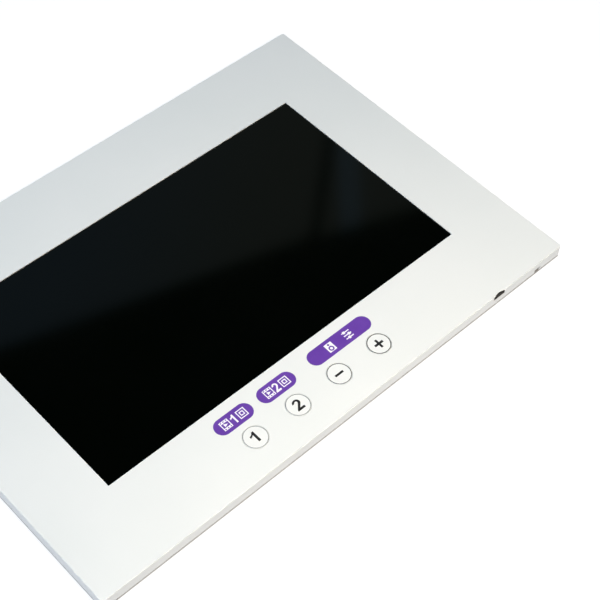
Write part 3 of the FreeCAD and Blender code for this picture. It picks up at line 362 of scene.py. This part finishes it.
# %% [markdown]
# ## Carrying a profile round an outline
# The profile's points and the outline's points make a grid, and its neighbours make faces. A lid on the first
# and the last ring closes it. A rounded edge is a quarter of a circle, stepped by its angle.

# %% Rim
def rim(outline, outward, profile):
    """Grid of points: point(i, j) = outline(j) - inset(i) * outward(j), at height z(i)."""
    profile = np.asarray(profile, float)
    flat = outline[None] - profile[:, :1, None] * outward[None]
    z = np.broadcast_to(profile[:, 1][:, None, None], (*flat.shape[:2], 1))
    return np.concatenate([flat, z], 2)


def quads(rows, columns, start=0):
    """Faces of a grid of rows and columns that closes round the columns, numbered row by row."""
    i, j = np.meshgrid(np.arange(rows - 1), np.arange(columns), indexing="ij")
    k = (j + 1) % columns
    corners = [i * columns + j, i * columns + k, (i + 1) * columns + k, (i + 1) * columns + j]
    return (np.stack(corners, -1).reshape(-1, 4) + start).tolist()


def closed_rim(outline, outward, profile):
    """A solid: the rim, with a flat lid on its first and last ring. The profile runs from top to bottom."""
    grid = rim(outline, outward, profile)
    rows, columns = grid.shape[:2]
    top = list(range(columns))
    bottom = list(range((rows - 1) * columns, rows * columns))[::-1]
    side = [face[::-1] for face in quads(rows, columns)]
    return grid.reshape(-1, 3), [*side, top, bottom]


def quarter(radius, z_top, steps=6, margin=0.15):
    """Profile of a rounded upper edge: inset r (1 - sin a), height z_top - r (1 - cos a), a from 0 to 90 degrees.

    A first point a margin further in keeps the flat lid's shading out of the bend."""
    a = np.linspace(0, np.pi / 2, steps)
    bend = np.stack([radius * (1 - np.sin(a)), z_top - radius * (1 - np.cos(a))], 1)
    return np.vstack([[radius + margin, z_top], bend])


print("a block with a rounded edge has", len(closed_rim(*rounded(4, 2, 0.5), quarter(0.2, 1))[1]), "faces")

# %% [markdown]
# ## A flat shape with holes
# The front sheet is a flat shape with a window and four round holes. A flat region between outlines is filled
# by a constrained Delaunay triangulation, which joins the given points into triangles and keeps the
# outlines as edges.

# %% Fill between outlines
def filled(outlines, z, upwards=True):
    """Triangles between an outer outline and the holes inside it, at height z."""
    points = np.concatenate(outlines)
    starts = np.cumsum([0] + [len(o) for o in outlines])
    loops = [list(range(a, b)) for a, b in zip(starts[:-1], starts[1:])]
    loops = [loop if i == 0 else loop[::-1] for i, loop in enumerate(loops)]
    edges = [(a, b) for loop in loops for a, b in zip(loop, loop[1:] + loop[:1])]
    made = delaunay_2d_cdt([Vector(p) for p in points], edges, [], 0, 1e-7)
    flat = np.array([points[given[0]] if given else tuple(v) for v, given in zip(made[0], made[3])])
    faces = np.array(made[2])
    centres = flat[faces].mean(1)
    inside = winding(outlines[0], centres)
    for hole in outlines[1:]:
        inside &= ~winding(hole, centres)
    faces = faces[inside]
    a, b, c = (flat[faces[:, k]] for k in range(3))
    left = (b - a)[:, 0] * (c - a)[:, 1] - (b - a)[:, 1] * (c - a)[:, 0] > 0
    faces = np.where((left == upwards)[:, None], faces, faces[:, ::-1])
    return np.column_stack([flat, np.full(len(flat), z)]), faces.tolist()


def winding(outline, places):
    """True where a place is inside: a ray along +X crosses the outline an odd number of times."""
    a, b = outline, np.roll(outline, -1, 0)
    x, y = places[:, 0][:, None], places[:, 1][:, None]
    spans = (a[:, 1] > y) != (b[:, 1] > y)
    rise = np.where(b[:, 1] == a[:, 1], 1.0, b[:, 1] - a[:, 1])
    cross = a[:, 0] + (y - a[:, 1]) * (b[:, 0] - a[:, 0]) / rise
    return (spans & (x < cross)).sum(1) % 2 == 1


print("triangles in a 4 x 2 rectangle with a round hole:",
      len(filled([rounded(4, 2, 0.2, steps=4)[0], rounded(1, 1, 0.5, steps=4)[0]], 0)[1]))

# %% [markdown]
# ## Joining surfaces into one
# Rims and fills meet along the same outline points, so merging equal points closes the surface.

# %% Join
def joined(*parts):
    """Several (points, faces) as one: equal points are merged, and faces without area are left out."""
    points, faces, start = [], [], 0
    for p, f in parts:
        points.append(p)
        faces += [[v + start for v in face] for face in f]
        start += len(p)
    points = np.concatenate(points)
    unique, where = np.unique(points.round(5), axis=0, return_inverse=True)
    faces = [list(dict.fromkeys(where.reshape(-1)[face].tolist())) for face in faces]
    return unique, [face for face in faces if len(face) > 2]


triangle = (np.array([(0, 0, 0), (1, 0, 0), (0, 1, 0)]), [[0, 1, 2]])
print("two equal triangles share", len(joined(triangle, triangle)[0]), "points")

# %% [markdown]
# ## The front sheet
# The sheet's outer edge is softly rounded, with a radius of 0.35 mm, and the holes are punched, with the very
# small break of 0.06 mm that a punch leaves. Each edge is a profile carried along its own outline, and flat
# fills close the front and the back. At the charging port a shallow scallop gives the plug's nose room.

# %% Front sheet
TOP = FACE - INK
BACK = sheet_low[2]
EDGE, BREAK, CORNER_RADIUS = 0.35, 0.06, 1.2
WINDOW, HOLE = (223.0, 125.4), 12.6
SCALLOP_HALF, SCALLOP_DEPTH = 3.6, 0.8
port_x = (limits("usb_shell")[0] + limits("usb_shell")[1])[0] / 2


def sheet_outline(steps=10):
    """The rounded rectangle, with the scallop's arc put into its lower edge."""
    line, out = rounded(*PANEL, CORNER_RADIUS, steps=steps)
    half, depth = SCALLOP_HALF, SCALLOP_DEPTH
    radius = (half**2 + depth**2) / (2 * depth)
    angle = np.linspace(-1, 1, 25) * math.asin(half / radius)
    low = -PANEL[1] / 2
    bite = np.stack([port_x + radius * np.sin(angle), low + depth - radius * (1 - np.cos(angle))], 1)
    bite_out = np.stack([np.sin(angle), -np.cos(angle)], 1) * [-0.15, 1]
    ends = [np.array([(port_x + side * (half + far), low) for far in fars])
            for side, fars in ((-1, (20.0, 0.6, 0.15)), (1, (0.15, 0.6, 20.0)))]
    bite = np.vstack([ends[0], bite, ends[1]])
    bite_out = np.vstack([[(0, -1)] * 3, bite_out, [(0, -1)] * 3])
    third_corner = 3 * steps
    return np.insert(line, third_corner, bite, 0), np.insert(out, third_corner, bite_out, 0)


outer = sheet_outline()
holes = [rounded(*WINDOW, 0.12, steps=4)]
holes += [rounded(HOLE, HOLE, HOLE / 2, KEYS[key], steps=20) for key in KEY_NAMES]
outer_profile = np.vstack([quarter(EDGE, TOP), [(0, BACK)]])
hole_profile = np.vstack([-quarter(BREAK, TOP, 4) * [1, -1], [(0, BACK)]])
parts = []
grid = rim(*outer, outer_profile)
parts.append((grid.reshape(-1, 3), [f[::-1] for f in quads(*grid.shape[:2])]))
fronts, backs = [grid[0, :, :2]], [grid[-1, :, :2]]
for line, out in holes:
    grid = rim(line, out, hole_profile)
    parts.append((grid.reshape(-1, 3), quads(*grid.shape[:2])))
    fronts.append(grid[0, :, :2])
    backs.append(grid[-1, :, :2])
parts += [filled(fronts, TOP), filled(backs, BACK, upwards=False)]
piece("front_sheet_face", *joined(*parts), printed_polycarbonate, replaces=["front_sheet"],
      slot="white_sheet")

# %% [markdown]
# ## Screen
# The polariser is a film cut to size, so its edge is square with a hair of rounding. It fills the window and
# lies 0.6 mm below the face.

# %% Screen
low, high = limits("front_polariser")
line, out = rounded(*(high - low)[:2], 0.4, (high + low)[:2] / 2, steps=6)
profile = np.vstack([quarter(0.05, high[2], 4), [(0, low[2])]])
piece("screen_film", *closed_rim(line, out, profile), hard_coated_polariser,
      replaces=["front_polariser"], slot="black_screen")

# %% [markdown]
# ## Key caps
# A cap is turned about its own axis: a flat top with a small rounded edge, a skirt, a flange that keeps it
# behind the deck, a hollow underside and a post that presses the switch. All of it is one profile, carried
# round a circle and closed at the top and at the end of the post.

# %% Key caps
def turned(centre, profile, steps=24):
    """A solid of revolution: profile points (radius, z) from the top, round the centre."""
    profile = np.asarray(profile, float)
    biggest = profile[:, 0].max()
    line, out = rounded(2 * biggest, 2 * biggest, biggest, centre, steps)
    return closed_rim(line, out, np.column_stack([biggest - profile[:, 0], profile[:, 1]]))


cap_low, cap_high = limits("key_cap_one")
cap_top, cap_foot = cap_high[2] - INK, cap_low[2]
cap_base, cap_ceiling = cap_high[2] - 2.0, cap_high[2] - 1.2
SKIRT, FLANGE, HOLLOW, POST = 6.12, 7.3, 4.92, 1.5
edge = quarter(0.12, cap_top, 5, 0.04)
edge = np.column_stack([SKIRT - edge[:, 0], edge[:, 1]])
flange = [(SKIRT, cap_base + 0.45), (FLANGE, cap_base + 0.42), (FLANGE, cap_base)]
hollow = [(HOLLOW, cap_base), (HOLLOW, cap_ceiling), (POST + 0.05, cap_ceiling)]
post = [(POST, cap_foot + 0.1), (POST - 0.1, cap_foot)]
for key in KEY_NAMES:
    solid = turned(KEYS[key], np.vstack([edge, flange, hollow, post]))
    piece(f"key_cap_{key}_turned", *solid, polished_key_abs, f"key_{key}", [f"key_cap_{key}"], "white_sheet")

# %% [markdown]
# ## Snap domes
# Under each key a dished disc of spring steel gives the click. Seen from the side it is a shallow arc: its
# height over the base is rise (1 - (r/R)^2), and a second arc 0.08 mm lower closes the shell. When its key
# goes down the dome flattens towards its base.

# %% Snap domes
for key in KEY_NAMES:
    low, high = limits(f"snap_dome_{key}")
    reach, rise = (high - low)[0] / 2, high[2] - low[2]
    r = np.linspace(0.02, 1, 14)[:, None]
    upper = np.hstack([reach * r, low[2] + 0.02 + (rise - 0.02) * (1 - r**2)])
    lower = np.hstack([(reach - 0.06) * r, low[2] + (rise - 0.08) * (1 - r**2)])[::-1]
    dome = piece(f"snap_dome_{key}_dished", *turned(KEYS[key], np.vstack([upper, lower]), 12), spring_steel,
                 replaces=[f"snap_dome_{key}"], slot="spring_steel")
    anchor = (*(KEYS[key] * MM).tolist(), low[2] * MM)
    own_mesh(dome)

# %% [markdown]
# ## Printed marks and painted rings
# Ink is a flat shape with a thickness of 0.03 mm, and so are the rings of painted shade round the keys. A mark is
# drawn as outlines, filled, and given its low side walls. A ring is a circle with a hole, a field is a stadium,
# and a stroke is a line with a width.

# %% Ink shapes
def printed(outlines, top=FACE, thick=INK * 0.9):
    """A thin solid of a flat shape: the front and back fills, and a wall round each outline."""
    walls = []
    for i, line in enumerate(outlines):
        levels = np.array([(0, top), (0, top - thick)])
        grid = rim(line, np.zeros_like(line), levels)
        faces = quads(*grid.shape[:2])
        area = np.sum(line[:, 0] * np.roll(line[:, 1], -1) - line[:, 1] * np.roll(line[:, 0], -1))
        turn_round = (area > 0) == (i == 0)
        walls.append((grid.reshape(-1, 3), [f[::-1] for f in faces] if turn_round else faces))
    return joined(*walls, filled(outlines, top), filled(outlines, top - thick, upwards=False))


def ring_marks(centre, inner, outer_radius):
    """Two circles: the ring's outer line and its hole."""
    return [rounded(2 * r, 2 * r, r, centre, 24)[0] for r in (outer_radius, inner)]


# Painted shade: each ring is dark ink at a cap's edge, standing for the shaded gap between cap and hole. The greys
# differ per key: pale on one and two, darker on minus, black on plus.
RING_RADIUS = 5.98
RINGS = {"one": (pale_grey_ink, 0.25), "two": (pale_grey_ink, 0.3), "minus": (grey_ink, 0.34),
         "plus": (black_ink, 0.4)}
for key, (ink, width) in RINGS.items():
    ring = printed(ring_marks(KEYS[key], RING_RADIUS - width, RING_RADIUS))
    piece(f"ring_{key}", *ring, ink, f"key_{key}", smooth=0, slot="knob_black")

# %% [markdown]
# ## Purple fields
# Three fields with round ends name the keys: one above each numbered key, and a long one above the pair of
# level keys. They sit midway between the keys and the window.

# %% Fields
FIELDS = {"first": (-46.8, 22.0), "second": (-20.1, 22.2), "level": (21.0, 39.8)}
FIELD_Y, FIELD_HIGH = -73.05, 9.1
for name, (x, width) in FIELDS.items():
    line = rounded(width, FIELD_HIGH, FIELD_HIGH / 2, (x, FIELD_Y), 24)[0]
    piece(f"field_{name}", *printed([line], FACE - 0.008, INK * 0.7), purple_ink, smooth=0, slot="knob_black")

# %% [markdown]
# ## Numerals
# The numerals are plain bold figures. A typeface could give them, but they are simple enough to draw: the one
# is a stem with a flag, and the two is a pair of arcs, one inside the other, that run down into a foot. Both
# are drawn six units high and then scaled to size.

# %% Numerals
def arc(centre, radii, start, end, steps=18):
    """Points centre + (a cos t, b sin t), with t from start to end in degrees."""
    t = np.radians(np.linspace(start, end, steps))
    return np.array(centre) + np.stack([radii[0] * np.cos(t), radii[1] * np.sin(t)], 1)


def figure_one():
    """A stem 1.35 wide at the right, and a flag that curves down to the left from its top."""
    flag = arc((0.0, 6.1), (2.2, 1.55), -14, -88, 8)
    stem, under_flag = [(3.4, 0), (3.4, 6.0), (2.3, 6.0)], [(0.0, 3.45), (1.2, 3.85), (2.05, 4.4), (2.05, 0)]
    return np.vstack([stem, flag, under_flag])[::-1]


def figure_two():
    """An outer arc from the left end over the top, a slanting leg and a foot, and the inner arc back."""
    outer = arc((2.25, 4.25), (2.1, 1.85), 178, -38)
    inner = arc((2.2, 4.3), (0.88, 0.8), -42, 170)
    return np.vstack([outer, [(2.05, 1.2), (4.45, 1.2), (4.45, 0.0), (0.0, 0.0), (0.12, 0.75)], inner])


def numeral(draw, centre, size):
    """The figure's outline, moved and scaled to a box with that centre and size."""
    line = draw()
    low, high = line.min(0), line.max(0)
    line = (line - (low + high) / 2) / (high - low) * np.array(size) + np.array(centre)
    area = np.sum(line[:, 0] * np.roll(line[:, 1], -1) - line[:, 1] * np.roll(line[:, 0], -1))
    return line if area > 0 else line[::-1]


NUMERALS = {"one": (figure_one, (-0.6, 0.2), (3.3, 6.0)), "two": (figure_two, (-0.1, 0.1), (4.5, 6.2))}
for key, (draw, at, size) in NUMERALS.items():
    solid = printed([numeral(draw, KEYS[key] + at, size)])
    piece(f"numeral_{key}", *solid, black_ink, f"key_{key}", smooth=0, slot="knob_black")

# %% [markdown]
# ## Plus and minus
# Both signs are bars about 5 mm long and 1.2 mm wide. The plus is one outline with twelve corners.

# %% Signs
def bar(centre, width, height):
    """A rectangle's four corners, anticlockwise."""
    signs = np.array([(-1, -1), (1, -1), (1, 1), (-1, 1)])
    return np.array(centre) + signs * np.array([width, height]) / 2


def cross(centre, size, width):
    """A plus sign: one arm's three corners, turned four times by a right angle."""
    a, b = size / 2, width / 2
    arm = np.array([(a, -b), (a, b), (b, b)])
    angles = np.arange(4) * np.pi / 2
    turns = [np.array([(math.cos(t), math.sin(t)), (-math.sin(t), math.cos(t))]) for t in angles]
    return np.concatenate([arm @ turn for turn in turns]) + np.array(centre)


SIGNS = {"minus": bar(KEYS["minus"], 5.1, 1.2), "plus": cross(KEYS["plus"], 5.3, 1.25)}
for key, line in SIGNS.items():
    piece(f"sign_{key}", *printed([line]), black_ink, f"key_{key}", smooth=0, slot="knob_black")

# %% [markdown]
# ## Symbols on the fields
# White symbols say what the keys do, without words. A film clip, a numeral and a picture frame stand for the
# first and the second recording; a loudspeaker box and three sliders stand for the sound level. Each symbol
# is a few closed outlines about 5 mm high.

# %% Symbols
def picture_mark(x, y):
    """A picture frame: a square frame round a smaller one."""
    sides = (4.9, 3.85, 2.35, 1.35)
    return [[bar((x, y), side, side) for side in sides[:2]], [bar((x, y), side, side) for side in sides[2:]]]


def film_mark(x, y):
    """A film clip: a bar with three holes above and below, and a play triangle in the picture between."""
    outline = bar((x, y), 4.9, 5.2)
    slots = [bar((x + step, y + side * 2.0), 0.75, 0.55) for side in (-1, 1) for step in (-1.55, 0, 1.55)]
    picture = bar((x, y), 3.9, 2.5)
    triangle = np.array([(x - 0.9, y - 0.95), (x + 1.2, y), (x - 0.9, y + 0.95)])
    return [[outline, *slots, picture], [triangle]]


def loudspeaker_mark(x, y):
    """A loudspeaker box: a block with a small hole above a large one, and a disc in the large one."""
    circles = [rounded(2 * r, 2 * r, r, (x, y + up), 6)[0] for r, up in ((0.6, 1.55), (1.5, -0.85))]
    return [[bar((x, y), 4.5, 5.2), *circles], [rounded(1.5, 1.5, 0.75, (x, y - 0.85), 6)[0]]]


def slider_mark(x, y):
    """Three level sliders: each is a thin line with a knob on it, at three places along the lines."""
    lines = []
    for up, along in ((1.85, -0.9), (0.0, 1.0), (-1.85, -0.2)):
        a, b = x + along - 0.65, x + along + 0.65
        half = np.array([(x - 2.4, -0.3), (a, -0.3), (a, -0.75), (b, -0.75), (b, -0.3), (x + 2.4, -0.3)])
        lines.append(np.vstack([half, half[::-1] * (1, -1)]) + (0, y + up))
    return [[line] for line in lines]


print("symbols drawn:", len(film_mark(0, 0)) + len(picture_mark(0, 0)), "parts for a recording")

# %% [markdown]
# ## Placing the symbols
# Each numbered field carries a film clip, its numeral and a picture frame. The level field carries its two
# symbols side by side, about 11 mm apart.

# %% Place the symbols
def symbols(name, groups):
    """One piece of white ink from several shapes."""
    piece(f"symbols_{name}", *joined(*(printed(group, FACE, 0.02) for group in groups)), white_ink, smooth=0,
          slot="white_sheet")


for name, draw, width in (("first", figure_one, 2.3), ("second", figure_two, 3.2)):
    x = FIELDS[name][0]
    middle = [numeral(draw, (x - 0.1, FIELD_Y), (width, 5.2))]
    symbols(name, film_mark(x - 4.7, FIELD_Y) + [middle] + picture_mark(x + 5.1, FIELD_Y))
x = FIELDS["level"][0]
symbols("level", loudspeaker_mark(x - 5.95, FIELD_Y) + slider_mark(x + 5.6, FIELD_Y))

# %% [markdown]
# ## Rubber feet
# The feet are pressed from silicone: a disc with a rounded lower edge and a shallow hollow that grips.

# %% Feet
foot_low, foot_high = limits("rubber_feet")
FOOT, FOOT_EDGE = 6.0, 0.3
reach = (foot_high - foot_low)[:2] / 2 - FOOT
bend = np.linspace(0, np.pi / 2, 7)
wall = [(FOOT, foot_high[2])]
bottom = np.stack([FOOT - FOOT_EDGE * (1 - np.cos(bend)), FOOT_EDGE * (1 - np.sin(bend))], 1)
grip = [(4.6, 0.0), (4.2, 0.08), (1.0, 0.12)]
profile = np.vstack([wall, bottom, grip])
feet = [turned(reach * sign, profile) for sign in ((-1, -1), (1, -1), (1, 1), (-1, 1))]
piece("pressed_feet", *joined(*feet), silicone_rubber, replaces=["rubber_feet"], slot="black_rubber")

# %% [markdown]
# ## The mouth of the charging port
# The socket sits a little inside the casing, and the way to it is a short black funnel that guides the plug.
# The funnel is a rounded rectangle carried inwards: an outer wall, a front lip and an inner wall that tapers
# towards the socket. Its length runs along Y, so the rings are made in the X-Z plane.

# %% Port funnel
shell_low, shell_high = limits("usb_shell")
funnel_size = np.array([8.0, 2.5])
funnel_mid = np.array([port_x, (shell_low[2] + shell_high[2]) / 2])
line, out = rounded(*funnel_size, 0.5, funnel_mid, steps=6)
mouth, throat = -PANEL[1] / 2 + 0.12, shell_low[1] - 0.05
profile = [(0.0, throat), (0.0, mouth), (0.08, mouth - 0.04), (0.16, mouth), (0.5, throat), (0.0, throat)]
grid = rim(line, out, profile)[..., [0, 2, 1]]
funnel = joined((grid.reshape(-1, 3), quads(*grid.shape[:2])))
piece("port_funnel", *funnel, glass_filled_nylon, slot="knob_black")

# %% [markdown]
# ## Contacts in the charging port
# Five gold contacts lie along the tongue. Each is a superellipsoid, a box whose edges are rounded by raising
# the sine and cosine of the two angles to a small power.

# %% Contacts
def soft_box(centre, size, power=0.35, steps=(13, 24)):
    """x = a c(v) c(u), y = b c(v) s(u), z = h s(v), where c and s are cosine and sine to a signed power."""
    def lift(value):
        return np.sign(value) * np.abs(value) ** power
    v = np.linspace(np.pi / 2 - 1e-3, -np.pi / 2 + 1e-3, steps[0])[:, None]
    u = np.linspace(0, 2 * np.pi, steps[1], endpoint=False)[None]
    ring = lift(np.cos(v))
    axes = [ring * lift(np.cos(u)), ring * lift(np.sin(u)), lift(np.sin(v)) * np.ones_like(u)]
    grid = np.stack(axes, -1) * np.array(size) / 2 + np.array(centre)
    rows, columns = grid.shape[:2]
    side = [f[::-1] for f in quads(rows, columns)]
    ends = [list(range(columns)), list(range((rows - 1) * columns, rows * columns))[::-1]]
    return grid.reshape(-1, 3), side + ends


tongue_low = limits("usb_tongue")[0]
CONTACT, PITCH = (0.32, 2.6, 0.1), 0.65
middle = np.array([port_x, tongue_low[1] + 1.5, shell_low[2] + 1.43])
contacts = [soft_box(middle + (PITCH * i, 0, 0), CONTACT) for i in range(-2, 3)]
piece("port_contacts", *joined(*contacts), gold_contact, slot="thin_steel")

# %% [markdown]
# ## Floor
# The panel lies on a white light table. Most of the table's brightness is its own light, so it stays white
# right up to the panel and lights its sides. Under the panel, where a panel covers the table, it gives none:
# the distance outside the panel's outline, max(|x| - w/2, |y| - h/2), switches the light on at the edge.

# %% Floor
light_table, tree, shader = blank("opal_glass_light_table")
place = add(tree, "ShaderNodeTexCoord").outputs["Object"]
fibre = add(tree, "ShaderNodeTexNoise", Vector=place, Scale=per_mm(1.5), Detail=3.0).outputs["Fac"]
fibre_bump = add(tree, "ShaderNodeBump", Height=fibre, Strength=0.2, Distance=0.02 * MM)
tree.links.new(fibre_bump.outputs[0], shader.inputs["Normal"])
away = add(tree, "ShaderNodeVectorMath", {"operation": "ABSOLUTE"}, _0=place).outputs[0]
half = (PANEL[0] / 2 * MM, PANEL[1] / 2 * MM, 0.0)
away = add(tree, "ShaderNodeVectorMath", {"operation": "SUBTRACT"}, _0=away, _1=half).outputs[0]
away = add(tree, "ShaderNodeSeparateXYZ", Vector=away)
away = add(tree, "ShaderNodeMath", {"operation": "MAXIMUM"}, _0=away.outputs[0],
           _1=away.outputs[1]).outputs[0]
glow = add(tree, "ShaderNodeMapRange", Value=away, From_Min=-0.0004, From_Max=0.0002, To_Min=0.0, To_Max=0.8)
tree.links.new(glow.outputs[0], shader.inputs["Emission Strength"])
shader.inputs["Base Color"].default_value = linear("#959595")
shader.inputs["Roughness"].default_value = 0.9
shader.inputs["Emission Color"].default_value = linear("#FFFFFF")
bpy.ops.mesh.primitive_plane_add(size=24)
floor = bpy.context.active_object
floor.name = "floor"
floor.data.materials.append(light_table)
floor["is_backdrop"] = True
print("floor lit outside", [round(2 * v / MM, 1) for v in half[:2]], "mm")

# %% [markdown]
# ## Lights
# Two large, cool lights, high on the left and overhead, light the face evenly, as windows would. A small
# warm lamp near the lower edge makes the face brighter towards the keys. No light stands where the screen
# would mirror it to the camera.

# %% Lights
def soft_light(name, location, target, size, watts, colour):
    """A square area light that faces its target."""
    data = bpy.data.lights.new(name, "AREA")
    data.shape, data.size, data.energy, data.color = "SQUARE", size, watts, colour
    light = bpy.data.objects.new(name, data)
    light.location = location
    light.rotation_mode = "QUATERNION"
    light.rotation_quaternion = (Vector(target) - Vector(location)).to_track_quat("-Z", "Y")
    bpy.context.scene.collection.objects.link(light)
    return light


COOL, WARM = (0.73, 0.85, 1.0), (1.0, 0.868, 0.695)
soft_light("left_window", (-0.95, 0.25, 1.35), (0, 0, 0), 1.0, 12.6, COOL)
soft_light("top_window", (-0.2, -0.45, 1.6), (0, 0, 0), 1.0, 9.3, COOL)
soft_light("warm_lamp", (0.0, -0.30, 0.40), (0.01, -0.04, 0), 0.16, 1.68, WARM)

# %% [markdown]
# ## The room that the screen mirrors
# A glossy black screen shows the room, so the room matters as much as the screen. Here it is dark below, with
# a dim wall above: the wall's lower edge is one plane through the eye on the left and another on the right,
# a darker upright line marks the corner where the two walls meet, and a narrow strip of daylight is beside
# it. The world's coordinate is a direction, and its dot product with a plane's normal says how far it lies on
# either side of that plane, so each edge is one dot product and one smooth step.

# %% Room
world = bpy.data.worlds.new("dim_room")
bpy.context.scene.world = world
world.use_nodes = True
tree = world.node_tree
heading = add(tree, "ShaderNodeTexCoord").outputs["Generated"]
LEFT_WALL, RIGHT_WALL = (0.2243, 0.7750, -0.5908), (0.2679, 0.7523, -0.6019)
CORNER, STRIP = (-0.6394, 0.7673, -0.0495), (-0.7359, 0.6692, 0.1030)
EDGES = {
    "left_wall_foot": (LEFT_WALL, -0.006, 0.006),
    "right_wall_foot": (RIGHT_WALL, -0.006, 0.006),
    "left_of_corner": (CORNER, -0.006, 0.008),
    "right_of_corner": (CORNER, 0.001, -0.012),
    "far_left": (CORNER, 0.0, 0.2),
    "strip_start": (STRIP, -0.013, -0.003),
    "strip_end": (STRIP, 0.011, 0.002),
}
edge = {}
for name, (normal, low, high) in EDGES.items():
    side = add(tree, "ShaderNodeVectorMath", {"operation": "DOT_PRODUCT"}, _0=heading, _1=normal).outputs["Value"]
    edge[name] = add(tree, "ShaderNodeMapRange", {"interpolation_type": "SMOOTHSTEP"}, Value=side, From_Min=low,
                     From_Max=high, To_Min=0.0, To_Max=1.0).outputs[0]
MASKS = {
    "left_wall": ("left_wall_foot", "left_of_corner"),
    "right_wall": ("right_wall_foot", "right_of_corner"),
    "strip": ("strip_start", "strip_end"),
}
mask = {}
for name, (a, b) in MASKS.items():
    mask[name] = add(tree, "ShaderNodeMath", {"operation": "MULTIPLY"}, _0=edge[a], _1=edge[b]).outputs[0]
walls = add(tree, "ShaderNodeMath", {"operation": "ADD"}, _0=mask["left_wall"], _1=mask["right_wall"]).outputs[0]
strip = add(tree, "ShaderNodeMath", {"operation": "MULTIPLY"}, _0=mask["strip"], _1=mask["right_wall"]).outputs[0]
tint = add(tree, "ShaderNodeMixRGB", Fac=edge["far_left"], Color1=(0.105, 0.122, 0.108, 1),
           Color2=(0.085, 0.125, 0.160, 1)).outputs[0]
wall_light = add(tree, "ShaderNodeMixRGB", {"blend_type": "MIX"}, Fac=walls, Color1=(0.005, 0.010, 0.007, 1),
                 Color2=tint)
daylight = add(tree, "ShaderNodeMixRGB", {"blend_type": "ADD"}, Fac=strip, Color1=wall_light.outputs[0],
               Color2=(0.03, 0.07, 0.12, 1))
backdrop = next(n for n in tree.nodes if n.type == "BACKGROUND")
tree.links.new(daylight.outputs[0], backdrop.inputs["Color"])
backdrop.inputs["Strength"].default_value = 1.0
print("room made of", len(tree.nodes), "nodes")

# %% [markdown]
# ## Camera
# The camera looks down on the panel's lower left, from 0.7 m away, through a long lens, with a slight tilt.

# %% Camera
camera_data = bpy.data.cameras.new("camera")
camera_data.lens, camera_data.sensor_width = 85.81, 36
camera = bpy.data.objects.new("camera", camera_data)
camera.location = (-0.2880, -0.3393, 0.5628)
looking = Vector((0.44394, 0.42263, -0.79013))
camera.rotation_mode = "QUATERNION"
camera.rotation_quaternion = looking.to_track_quat("-Z", "Y") @ Quaternion((0, 0, 1), math.radians(4.151))
bpy.context.scene.collection.objects.link(camera)
bpy.context.scene.camera = camera
bpy.context.scene.view_settings.view_transform = "Standard"
print("camera at", tuple(camera.location))

# %% [markdown]
# ## Measure and finish
# The CAD box and the box of what is seen are written side by side. They should be equal, because every new
# piece stays inside the CAD model's own box.

# %% Measure and finish
low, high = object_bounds()
print("visual box in mm:", [round(v / MM, 3) for v in (*low, *high)])
